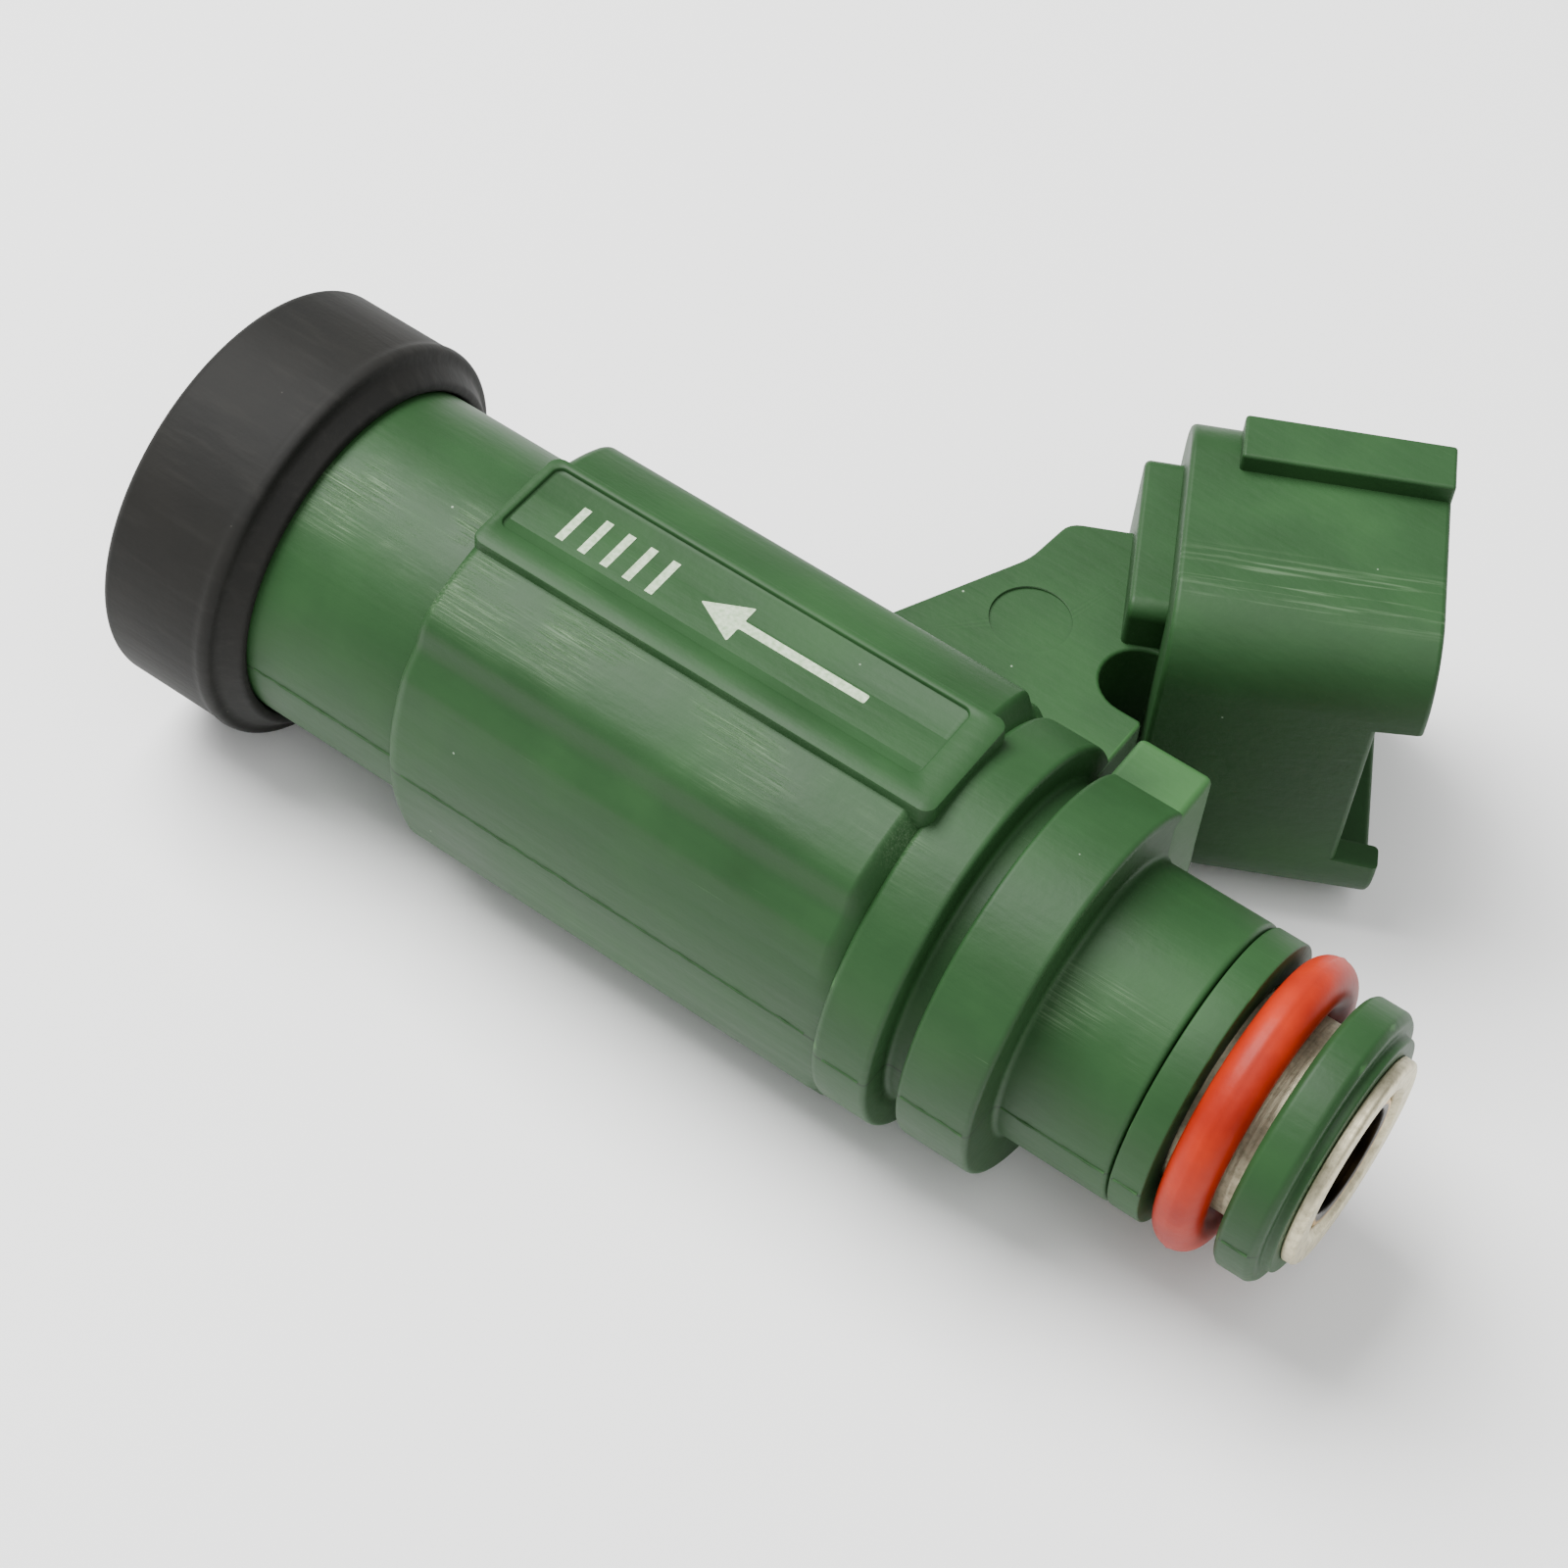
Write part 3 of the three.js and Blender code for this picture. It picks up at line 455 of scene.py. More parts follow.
# %% Plain nylons inside
def inner_nylon(name, dark, light):
    # Undyed nylon is creamy and a little cloudy.
    material, tree, surface, spot = finish(name, light, 0.5, ior=1.53)
    clouds = add(tree, "ShaderNodeTexNoise", {"Vector": spot, "Scale": per_metre(2), "Detail": 4})
    base = add(tree, "ShaderNodeValToRGB", {"Fac": clouds}, stops=[(0.3, dark), (0.7, light)])
    tree.links.new(base.outputs["Color"], surface.inputs["Base Color"])
    relief(tree, surface, [(clouds, 0.02)])
    return material


NATURAL_NYLON = inner_nylon("moulded_natural_nylon", "#C9C1A8", "#DCD5BF")
SCREEN_NYLON = inner_nylon("woven_screen_nylon", "#2A2924", "#3B3A33")

# %% [markdown]
# ## Building solids from rings and outlines
# Most of the piece is turned or moulded, so it is made of loops of points: a loop for each station, joined
# by quads. Corners of an outline are rounded before they are turned, because no real edge is perfectly
# sharp.


# %% Loops and outlines
def eased_corners(points, radius, steps=4, closed=True):
    """The outline with each corner rounded by up to radius."""
    made = []
    count = len(points)
    for i, corner in enumerate(points):
        if not closed and i in (0, count - 1):
            made.append(tuple(corner))
            continue
        here, before, after = (Vector(points[j % count]) for j in (i, i - 1, i + 1))
        cut = min(radius, 0.45 * (before - here).length, 0.45 * (after - here).length)
        start = here + (before - here).normalized() * cut
        end = here + (after - here).normalized() * cut
        for k in range(steps + 1):
            t = k / steps
            made.append(tuple(start * (1 - t) ** 2 + here * 2 * t * (1 - t) + end * t**2))
    return made


def join_loops(shell, loops, closed=False):
    """Quads between loops of points. The last joins the first if closed, and the ends are capped if not."""
    rows = [[shell.verts.new(p) for p in loop] for loop in loops]
    count = len(rows[0])
    pairs = list(zip(rows, rows[1:])) + ([(rows[-1], rows[0])] if closed else [])
    for a, b in pairs:
        for i in range(count):
            j = (i + 1) % count
            shell.faces.new((a[i], a[j], b[j], b[i]))
    if not closed:
        shell.faces.new(reversed(rows[0]))
        shell.faces.new(rows[-1])


def turned(shell, profile, sides):
    """A ring of the closed [station, radius] profile round the axis."""
    loops = []
    for k in range(sides):
        a = 2 * math.pi * k / sides
        loops.append([place(x, r * math.cos(a), r * math.sin(a)) for x, r in profile])
    join_loops(shell, loops, closed=True)


def prism(shell, outline, low, high):
    """An outline of the XY plane between two heights."""
    join_loops(shell, [[place(x, y, z) for x, y in outline] for z in (low, high)])


def rounded_rectangle(half_width, half_height, corner, steps=8, straight=1):
    """Points round a rectangle with round corners, counterclockwise, with extra points along its sides."""
    w, h = half_width - corner, half_height - corner
    corners = []
    for quarter, (cx, cy) in enumerate([(w, h), (-w, h), (-w, -h), (w, -h)]):
        arc = []
        for k in range(steps + 1):
            a = math.pi / 2 * (quarter + k / steps)
            arc.append((cx + corner * math.cos(a), cy + corner * math.sin(a)))
        corners.append(arc)
    points = []
    for i, arc in enumerate(corners):
        points += arc
        start, end = Vector(arc[-1]), Vector(corners[(i + 1) % 4][0])
        points += [tuple(start.lerp(end, k / straight)) for k in range(1, straight)]
    return points


print("points round a rounded rectangle:", len(rounded_rectangle(2, 1, 0.3)))


SLANT = Vector((1.0, 0.7313, 0.3197))  # a direction in which no two points of a piece line up


def shown(name, shell, material, smooth_angle=35):
    """The shell as an object with outward faces, smooth where it bends gently."""
    bmesh.ops.remove_doubles(shell, verts=shell.verts, dist=1e-7)
    bmesh.ops.recalc_face_normals(shell, faces=shell.faces)
    # A bevel makes its faces in no fixed order, so they are sorted by place to come out the same each run.
    shell.verts.sort(key=lambda vert: vert.co.dot(SLANT))
    shell.faces.sort(key=lambda face: face.calc_center_median().dot(SLANT))
    mesh = bpy.data.meshes.new(name)
    shell.to_mesh(mesh)
    shell.free()
    made = bpy.data.objects.new(name, mesh)
    bpy.context.scene.collection.objects.link(made)
    mesh.materials.append(material)
    mesh.shade_smooth()
    mesh.set_sharp_from_angle(angle=math.radians(smooth_angle))
    return made


def stands_for(piece, node):
    """Rides the finished piece on the body and, where a node is named, shows it in that node's place."""
    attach(piece, BODY)
    if node:
        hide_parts(node)
    print(piece.name, len(piece.data.polygons), "faces")


def baked(source, tree_modifier):
    """The object's evaluated shape as a plain mesh, with the modifier taken off."""
    graph = bpy.context.evaluated_depsgraph_get()
    mesh = bpy.data.meshes.new_from_object(source.evaluated_get(graph))
    source.modifiers.remove(tree_modifier)
    return mesh


# %% [markdown]
# ## The housing
# The real housing is one moulding. Each of its shapes is made as a closed shell with its own rounded edges,
# and the shells run into each other, so every join is a crisp crease, as it is where two faces of a mould
# meet. A voxel remesh would melt the joins, but it also blurs the crisp edges that give this part its look.

# %% Stations and radii of the housing
TUBE_START = station("moulded_housing", 0)
INSULATOR_END = station("lower_insulator", 1)
BODY_START, BODY_END = 17.6, 44.7
COLLAR_END = BODY_END + 2.6
FLANGE_START = COLLAR_END + 1.3
FLANGE_END = FLANGE_START + 4.1
SPIGOT_END = station("backup_ring", 0) - 0.1
CAN_RADIUS = outer_radius("solenoid_can")
COIL_BORE = CAN_RADIUS + 0.3
TUBE_RADIUS = COIL_BORE + 1.3
BODY_RADIUS = COIL_BORE + 3.6
COLLAR_RADIUS = TUBE_RADIUS + 1.3
FLANGE_RADIUS = TUBE_RADIUS + 0.7
SPIGOT_RADIUS = outer_radius("backup_ring")
INLET_BORE = SPIGOT_RADIUS - 2.12
VALVE_BORE = outer_radius("plate_retainer") + 0.5
COIL_BORE_START = station("solenoid_can", 0) - 0.5
COIL_BORE_END = station("terminal_block", 1) + 0.3
ROUND_SIDES = 192
print("tube", TUBE_RADIUS, "body", BODY_RADIUS, "collar", COLLAR_RADIUS)


# %% Tube, collar, flange and inlet spigot, turned in one hollow shell
def turned_core(shell):
    outside = [
        (TUBE_START, TUBE_RADIUS), (BODY_END - 0.9, TUBE_RADIUS), (BODY_END - 0.5, COLLAR_RADIUS),
        (COLLAR_END, COLLAR_RADIUS), (COLLAR_END, FLANGE_RADIUS - 1.2), (FLANGE_START, FLANGE_RADIUS - 1.2),
        (FLANGE_START, FLANGE_RADIUS), (FLANGE_END, FLANGE_RADIUS), (FLANGE_END, SPIGOT_RADIUS),
        (SPIGOT_END, SPIGOT_RADIUS),
    ]
    inside = [
        (SPIGOT_END, INLET_BORE), (COIL_BORE_END, INLET_BORE), (COIL_BORE_END, COIL_BORE),
        (COIL_BORE_START, COIL_BORE), (COIL_BORE_START, VALVE_BORE), (TUBE_START, VALVE_BORE),
    ]
    turned(shell, eased_corners(outside + inside, 0.32), ROUND_SIDES)


# %% Fluted body, lofted along the axis
# Shares of the body's radius, by degrees from the top: a lobe that rises from the label panel, a ledge
# below it, and a nearly flat side that meets the parting line.
FLUTES = [
    (0, 0.955), (12, 0.96), (22, 0.972), (30, 0.988), (36, 0.999), (39, 0.996), (41, 0.984), (43, 0.962),
    (45, 0.942), (47, 0.932), (52, 0.931), (55, 0.931), (58, 0.919), (66, 0.89), (74, 0.873), (82, 0.862),
    (90, 0.858),
]


def flute_share(degrees):
    """The section's share of the body's radius, averaged over two degrees so that its corners are round."""
    return sum(listed_share(degrees + step) for step in (-1, -0.5, 0, 0.5, 1)) / 5


def listed_share(degrees):
    folded = abs((degrees + 180) % 360 - 180)
    folded = min(folded, 180 - folded)
    for (a0, s0), (a1, s1) in zip(FLUTES, FLUTES[1:]):
        if folded <= a1:
            t = (folded - a0) / (a1 - a0)
            return s0 + (s1 - s0) * t
    return FLUTES[-1][1]


print("body radius at the lobes and at the side:", [round(BODY_RADIUS * flute_share(a), 2) for a in (37, 90)])


def fluted_body(shell):
    rounding = 0.8
    runout = 1.5
    steps = 12
    stations = [BODY_START + rounding * (1 - math.cos(math.pi / 2 * k / steps)) for k in range(steps + 1)]
    level = BODY_END - runout - BODY_START - rounding
    stations += [BODY_START + rounding + level * k / 6 for k in range(1, 7)]
    stations += [BODY_END - runout + runout * k / steps for k in range(1, steps + 1)]
    loops = []
    for x in stations:
        start = min(1.0, (x - BODY_START) / rounding)
        swell = math.sqrt(max(0.0, 1 - (1 - start) ** 2))
        end = min(1.0, max(0.0, (x - (BODY_END - runout)) / (0.8 * runout)))
        fall = end * end * (3 - 2 * end)
        loop = []
        for k in range(2 * ROUND_SIDES):
            degrees = 180 * k / ROUND_SIDES
            lobe = BODY_RADIUS * flute_share(degrees)
            lobe += (min(lobe, COLLAR_RADIUS - 0.45) - lobe) * fall
            radius = TUBE_RADIUS - 0.5 + (lobe - TUBE_RADIUS + 0.5) * (0.55 + 0.45 * swell)
            a = math.radians(degrees)
            loop.append(place(x, -radius * math.sin(a), radius * math.cos(a)))
        loops.append(loop)
    inner = (COIL_BORE + TUBE_RADIUS) / 2
    for x in (stations[-1], stations[0]):
        loops.append([
            place(x, -inner * math.sin(math.pi * k / ROUND_SIDES), inner * math.cos(math.pi * k / ROUND_SIDES))
            for k in range(2 * ROUND_SIDES)
        ])
    join_loops(shell, loops, closed=True)


# %% Label panel: a raised frame round a sunk face
PANEL_TOP, PANEL_FACE = 11.44, 11.2
PANEL_SPAN = [(BODY_START + 0.02, -3.3), (BODY_START + 27.0, 3.6)]
RECESS_SPAN = [(BODY_START + 0.6, -1.75), (BODY_START + 25.2, 3.05)]


def span_outline(span, grown, corner):
    """Points round the rectangle between two corners, grown by that much on every side."""
    (x0, y0), (x1, y1) = span
    outline = rounded_rectangle((x1 - x0) / 2 + grown, (y1 - y0) / 2 + grown, corner + grown)
    return [(x + (x0 + x1) / 2, y + (y0 + y1) / 2) for x, y in outline]


def label_panel():
    # Each level is a loop: up the outer wall, over the rim, and down to the sunk face.
    levels = [
        (PANEL_SPAN, 0.0, 0.7, COIL_BORE + 0.5), (PANEL_SPAN, 0.0, 0.7, PANEL_TOP - 0.22),
        (PANEL_SPAN, -0.06, 0.7, PANEL_TOP - 0.07), (PANEL_SPAN, -0.22, 0.7, PANEL_TOP),
        (RECESS_SPAN, 0.06, 0.5, PANEL_TOP), (RECESS_SPAN, 0.0, 0.5, PANEL_TOP - 0.05),
        (RECESS_SPAN, -0.03, 0.5, PANEL_FACE + 0.04), (RECESS_SPAN, -0.1, 0.5, PANEL_FACE),
    ]
    shell = bmesh.new()
    loops = []
    for span, grown, corner, height in levels:
        loops.append([place(x, y, height) for x, y in span_outline(span, grown, corner)])
    join_loops(shell, loops)
    stands_for(shown("label_panel_frame", shell, NYLON, 40), None)


label_panel()


# %% Socket frame: depth along the plug, and width across it
PLUG = Vector((math.cos(SOCKET_ANGLE), math.sin(SOCKET_ANGLE)))
ACROSS = Vector((-math.sin(SOCKET_ANGLE), math.cos(SOCKET_ANGLE)))
ROOT = Vector((BODY_END - 1.08, COLLAR_RADIUS + 10.28))
SHROUD_LENGTH, SHROUD_WALL, SHROUD_FLOOR = 13.3, 1.5, 1.8
SHROUD_HALF_WIDTH, SHROUD_HALF_HEIGHT, SHROUD_CORNER = 8.25, 10.3, 4.0
NECK_OFFSET = 1.15  # the neck and root block sit off the socket's middle


def in_socket(depth, across, height):
    """A point in the socket's own frame as a point in the shared frame."""
    flat = ROOT + PLUG * depth + ACROSS * across
    return place(flat.x, flat.y, height)


def socket_plan(depth, across):
    return tuple(ROOT + PLUG * depth + ACROSS * across)


print("socket's root and tip in mm:", [[round(v, 1) for v in socket_plan(d, 0)] for d in (0, SHROUD_LENGTH)])


# %% Connector shroud
RIM_CUT_HALF, RIM_CUT_DEPTH = 5.5, 2.3


def connector_shroud(shell):
    def loop(inset, depth, rim=False):
        outline = rounded_rectangle(
            SHROUD_HALF_WIDTH - inset, SHROUD_HALF_HEIGHT - inset, SHROUD_CORNER - inset, 14, 60
        )
        made = []
        for w, h in outline:
            cut = RIM_CUT_DEPTH if rim and w < 0 and abs(h) < RIM_CUT_HALF else 0
            made.append(in_socket(depth - cut, w, h))
        return made

    edge = 0.3
    turns = [math.radians(30 * k) for k in range(4)]
    loops = [loop(edge * (1 - math.sin(a)), edge * (1 - math.cos(a))) for a in turns]
    for a in turns:
        loops.append(loop(edge * (1 - math.cos(a)), SHROUD_LENGTH - edge * (1 - math.sin(a)), True))
    for a in turns:
        inset = SHROUD_WALL - edge * (1 - math.sin(a))
        loops.append(loop(inset, SHROUD_LENGTH - edge * (1 - math.cos(a)), True))
    loops += [loop(SHROUD_WALL, SHROUD_FLOOR + edge), loop(SHROUD_WALL + edge, SHROUD_FLOOR)]
    join_loops(shell, loops)


def socket_block(shell, half_width, half_height, corner, start, end, across=0.0, height=0.0):
    """A block with round corners, drawn out along the plug."""
    outline = rounded_rectangle(half_width, half_height, corner, 4)
    join_loops(shell, [[in_socket(d, across + w, height + h) for w, h in outline] for d in (start, end)])


def root_block(shell):
    socket_block(shell, 5.3, 7.1, 0.9, -2.0, SHROUD_FLOOR / 2, NECK_OFFSET)


def rails(shell):
    top, foot = SHROUD_HALF_HEIGHT + 1.1, SHROUD_HALF_HEIGHT - 1.2
    for side in (-1, 1):
        height = side * (top + foot) / 2
        socket_block(shell, 1.45, (top - foot) / 2, 0.2, SHROUD_LENGTH - 10.8, SHROUD_LENGTH, 4.7, height)


def latch_ramp(shell):
    front, foot = SHROUD_LENGTH - 3.2, SHROUD_HALF_WIDTH - 0.7
    outline = [
        socket_plan(front, foot), socket_plan(front, SHROUD_HALF_WIDTH + 0.2),
        socket_plan(front - 4.0, SHROUD_HALF_WIDTH + 1.4), socket_plan(front - 4.0, foot),
    ]
    prism(shell, outline, -2.5, 2.5)


# %% Neck plate, with a round notch under the socket
NECK_HALF = 4.3
PROUD = 0.04  # keeps the faces of two shells from lying in one plane
EJECTOR = (BODY_END - 5.4, COLLAR_RADIUS + 4.15)
EJECTOR_RADIUS = 2.15


def neck_plate(shell):
    notch = Vector((BODY_END + 1.2, COLLAR_RADIUS + 4.2))
    radius = 2.1
    arc = []
    for k in range(17):
        a = math.radians(-90 - 180 * k / 16)
        arc.append((notch.x + radius * math.cos(a), notch.y + radius * math.sin(a)))
    top = Vector(socket_plan(-5.35, 3.4))
    foot = (BODY_END - 11.6, BODY_RADIUS * FLUTES[-1][1])
    crown = eased_corners(
        [socket_plan(0.9, 3.4), tuple(top), (top.x - 0.3, top.y - 3.3), foot, (foot[0], COIL_BORE + 0.4)],
        0.7,
        closed=False,
    )
    outline = [
        *crown, (COLLAR_END + PROUD, COIL_BORE + 0.4), (COLLAR_END + PROUD, COLLAR_RADIUS + 2.0),
        (COLLAR_END - 0.15, notch.y - radius), *arc, socket_plan(0.9, -4.05),
    ]
    prism(shell, outline, -NECK_HALF, NECK_HALF)


def flange_shoulder(shell):
    half = 7.2
    top = 10.0
    start, end = FLANGE_START - PROUD, FLANGE_END + PROUD
    prism(shell, [(start, 6.2), (end, 6.2), (end, top), (start, top)], -half, half)


# %% Round the edges of a shell
def soften(shell, width):
    """Rounds every edge that bends by more than 30 degrees."""
    bmesh.ops.recalc_face_normals(shell, faces=shell.faces)
    sharp = [e for e in shell.edges if e.calc_face_angle(0) > math.radians(30)]
    bmesh.ops.bevel(
        shell, geom=sharp, offset=width * MM, segments=3, profile=0.5, affect="EDGES", clamp_overlap=True
    )


# %% Ejector pin marks, pressed into both faces of the neck
def press_marks(target, centre, radius, depth):
    for side in (-1, 1):
        stamp = bmesh.new()
        bmesh.ops.create_cone(
            stamp, cap_ends=True, segments=96, radius1=radius * MM, radius2=radius * MM, depth=2 * depth * MM,
            matrix=Matrix.Translation(place(centre[0], centre[1], side * NECK_HALF)),
        )
        cutter = shown("stamp", stamp, NYLON)
        cut = target.modifiers.new("mark", "BOOLEAN")
        cut.operation = "DIFFERENCE"
        cut.solver = "EXACT"
        cut.object = cutter
        bpy.context.view_layer.objects.active = target
        bpy.ops.object.modifier_apply(modifier=cut.name)
        bpy.data.objects.remove(cutter)


# %% Flat faces stay flat beside rounded edges
def flatten_faces(piece):
    """Lets large faces set the shading of the corners that they share with narrow ones."""
    weighted = piece.modifiers.new("flat", "WEIGHTED_NORMAL")
    weighted.keep_sharp = True
    weighted.weight = 100
    bpy.context.view_layer.objects.active = piece
    bpy.ops.object.modifier_apply(modifier=weighted.name)


# %% All the shells, in one piece
def moulded_housing():
    shapes = [
        (turned_core, 0), (fluted_body, 0), (connector_shroud, 0), (root_block, 0.3), (rails, 0.25),
        (latch_ramp, 0.25), (neck_plate, 0.3), (flange_shoulder, 0.4),
    ]
    bpy.ops.object.select_all(action="DESELECT")
    made = {}
    for shape, softness in shapes:
        shell = bmesh.new()
        shape(shell)
        if softness:
            soften(shell, softness)
        made[shape] = shown(shape.__name__, shell, NYLON)
    press_marks(made[neck_plate], EJECTOR, EJECTOR_RADIUS, 0.16)
    for piece in made.values():
        piece.select_set(True)
    housing = made[turned_core]
    bpy.context.view_layer.objects.active = housing
    bpy.ops.object.join()
    housing.name = "housing_moulding"
    housing.data.materials.clear()
    housing.data.materials.append(NYLON)
    flatten_faces(housing)
    stands_for(housing, "moulded_housing")


moulded_housing()

# %% [markdown]
# ## Turned and moulded rings
# The insulator, the two green rings, the sealing ring and the tube are all round, so each is an outline
# turned about the axis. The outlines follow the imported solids, with the small radii that a mould or a lathe
# leaves.


# %% Rings
def ring_piece(name, node, profile, material, softness=0.2, sides=160):
    shell = bmesh.new()
    turned(shell, eased_corners(profile, softness, 5), sides)
    piece = shown(name, shell, material, 60)
    stands_for(piece, node)
    return piece


def insulator_ring():
    outer = outer_radius("lower_insulator")
    bore = TUBE_RADIUS + 0.08
    nose = VALVE_BORE + 0.1
    lip = 3.5
    band_end = 7.05
    profile = [
        (0, nose), (0, outer - 0.35), (0.35, outer - 0.08), (band_end - 0.9, outer - 0.1),
        (band_end - 0.45, outer), (band_end, outer - 0.15), (band_end + 0.1, outer - 0.7),
        (INSULATOR_END - 0.35, bore + 0.75), (INSULATOR_END, bore + 0.5), (INSULATOR_END, bore), (lip, bore),
        (lip, nose),
    ]
    return ring_piece("insulator_rubber", "lower_insulator", profile, BLACK_RUBBER, 0.25)


insulator_ring()


def backup_ring():
    start, end = station("backup_ring", 0), station("backup_ring", 1)
    profile = [(start, INLET_BORE), (start, SPIGOT_RADIUS), (end, SPIGOT_RADIUS), (end, INLET_BORE)]
    ring_piece("backup_ring_moulding", "backup_ring", profile, NYLON, 0.12)


def retainer_ring():
    start, end = station("o_ring_retainer", 0), station("o_ring_retainer", 1)
    outer = outer_radius("o_ring_retainer")
    profile = [
        (start, INLET_BORE - 0.2), (start, outer - 0.3), (start + 0.3, outer), (end - 0.85, outer),
        (end - 0.5, outer - 0.3), (end - 0.5, outer - 0.95), (end, outer - 1.0), (end, INLET_BORE - 0.2),
    ]
    ring_piece("retainer_moulding", "o_ring_retainer", profile, NYLON, 0.15)


backup_ring()
retainer_ring()


# %% Sealing ring with its mould line
def sealing_ring():
    start, end = station("inlet_o_ring", 0), station("inlet_o_ring", 1)
    outer = outer_radius("inlet_o_ring")
    section = (end - start) / 2 * 1.03
    centre = (start + end) / 2
    middle_radius = outer - section
    steps = 48
    profile = []
    for k in range(steps):
        a = 2 * math.pi * k / steps
        proud = 0.045 * math.exp(-((math.degrees(a) - 90) / 2.2) ** 2)  # the line where the mould halves met
        r = section + proud - 0.045
        profile.append((centre + r * math.cos(a), middle_radius + r * math.sin(a)))
    shell = bmesh.new()
    turned(shell, profile, 200)
    stands_for(shown("sealing_ring", shell, ORANGE_RUBBER, 60), "inlet_o_ring")


sealing_ring()


# %% Inlet tube and the filter's collar
def inlet_tube():
    start, end = station("inlet_tube", 0), station("inlet_tube", 1)
    lip = outer_radius("inlet_tube")
    tube = lip - 0.3
    core = tube - 1.0
    floor = station("filter_basket", 0) - 0.3
    wide = outer_radius("filter_basket") + 0.3
    lip_start = station("o_ring_retainer", 1) + 0.02
    narrow = outer_radius("adjuster_sleeve") + 0.3
    profile = [
        (start, narrow), (start, core), (COIL_BORE_END - 1.3, core), (COIL_BORE_END + 0.3, tube),
        (lip_start, tube), (lip_start, lip), (end - 0.12, lip - 0.03), (end, lip - 0.2),
        (end, wide + 0.35), (end - 0.35, wide),
        (floor, wide), (floor, narrow),
    ]
    ring_piece("inlet_tube_turned", "inlet_tube", profile, STEEL, 0.1)


def filter_collar():
    start, end = station("filter_collar", 0), station("filter_collar", 1)
    outer = outer_radius("filter_collar")
    flared = station("inlet_tube", 1) - 0.2  # the collar's mouth stands just inside the lip
    profile = [
        (start, outer - 0.7), (start, outer), (end, outer), (flared - 0.2, outer), (flared, outer - 0.2),
        (flared - 0.1, outer - 0.7),
    ]
    ring_piece("filter_collar_drawn", "filter_collar", profile, BRASS, 0.12)


inlet_tube()
filter_collar()

# %% [markdown]
# ## Terminals
# Each blade is stamped from flat strip, tin plated, with a pointed lead-in. It bends down through the neck
# to the coil, where the moulding hides it, so only the blade in the socket needs its shape.


# %% Blades
def blade(name, node):
    low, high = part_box(node)
    middle_height = ((low.z + high.z) / 2 - NOZZLE.z) / MM
    half = (high.z - low.z) / 2 / MM
    tip = SHROUD_FLOOR + 7.6
    shell = bmesh.new()
    loops = []
    for depth, wide, thick in [
        (-3.0, 1.1, half), (tip - 1.2, 1.1, half), (tip - 0.4, 0.85, half * 0.7), (tip, 0.5, half * 0.35),
    ]:
        outline = rounded_rectangle(wide, thick, thick * 0.35, 4)
        loops.append([in_socket(depth, w, middle_height + h) for w, h in outline])
    join_loops(shell, loops)
    stands_for(shown(name, shell, TIN, 30), node)


blade("blade_a", "terminal_a")
blade("blade_b", "terminal_b")

# %% [markdown]
# ## The parting line
# A mould's two halves never close perfectly, so a thin ragged thread of flash stands along their joint. It
# follows a path, so a Geometry Nodes tree sweeps a small circle along it and shakes the path by noise.


# %% Flash tree
def flash_tree():
    tree = bpy.data.node_groups.new("sweep_flash", "GeometryNodeTree")
    tree.interface.new_socket("Geometry", in_out="INPUT", socket_type="NodeSocketGeometry")
    for name in ("Step", "Thickness", "Shake"):
        tree.interface.new_socket(name, in_out="INPUT", socket_type="NodeSocketFloat")
    tree.interface.new_socket("Geometry", in_out="OUTPUT", socket_type="NodeSocketGeometry")
    start = add(tree, "NodeGroupInput")
    even = add(
        tree,
        "GeometryNodeResampleCurve",
        {"Curve": start.outputs["Geometry"], "Length": start.outputs["Step"]},
        mode="LENGTH",
    )
    position = add(tree, "GeometryNodeInputPosition")
    ragged = add(tree, "ShaderNodeTexNoise", {"Vector": position, "Scale": per_metre(0.6), "Detail": 3})
    about_middle = {0: ragged.outputs["Color"], 1: (0.5, 0.5, 0.5)}
    centred = add(tree, "ShaderNodeVectorMath", about_middle, operation="SUBTRACT")
    shaken = {0: centred, "Scale": start.outputs["Shake"]}
    shift = add(tree, "ShaderNodeVectorMath", shaken, operation="SCALE")
    moved = add(tree, "GeometryNodeSetPosition", {"Geometry": even, "Offset": shift})
    section = add(
        tree,
        "GeometryNodeCurvePrimitiveCircle",
        {"Resolution": 6, "Radius": start.outputs["Thickness"]},
    )
    thread = add(
        tree,
        "GeometryNodeCurveToMesh",
        {"Curve": moved.outputs["Geometry"], "Profile Curve": section.outputs["Curve"], "Fill Caps": True},
    )
    real = add(tree, "GeometryNodeRealizeInstances", {"Geometry": thread.outputs["Mesh"]})
    coated = add(tree, "GeometryNodeSetMaterial", {"Geometry": real.outputs["Geometry"], "Material": NYLON})
    end = add(tree, "NodeGroupOutput")
    tree.links.new(coated.outputs["Geometry"], end.inputs["Geometry"])
    return tree


def set_input(modifier, name, value):
    """Sets a modifier's named input by its socket's identifier."""
    for item in modifier.node_group.interface.items_tree:
        if item.item_type == "SOCKET" and item.in_out == "INPUT" and item.name == name:
            modifier[item.identifier] = value


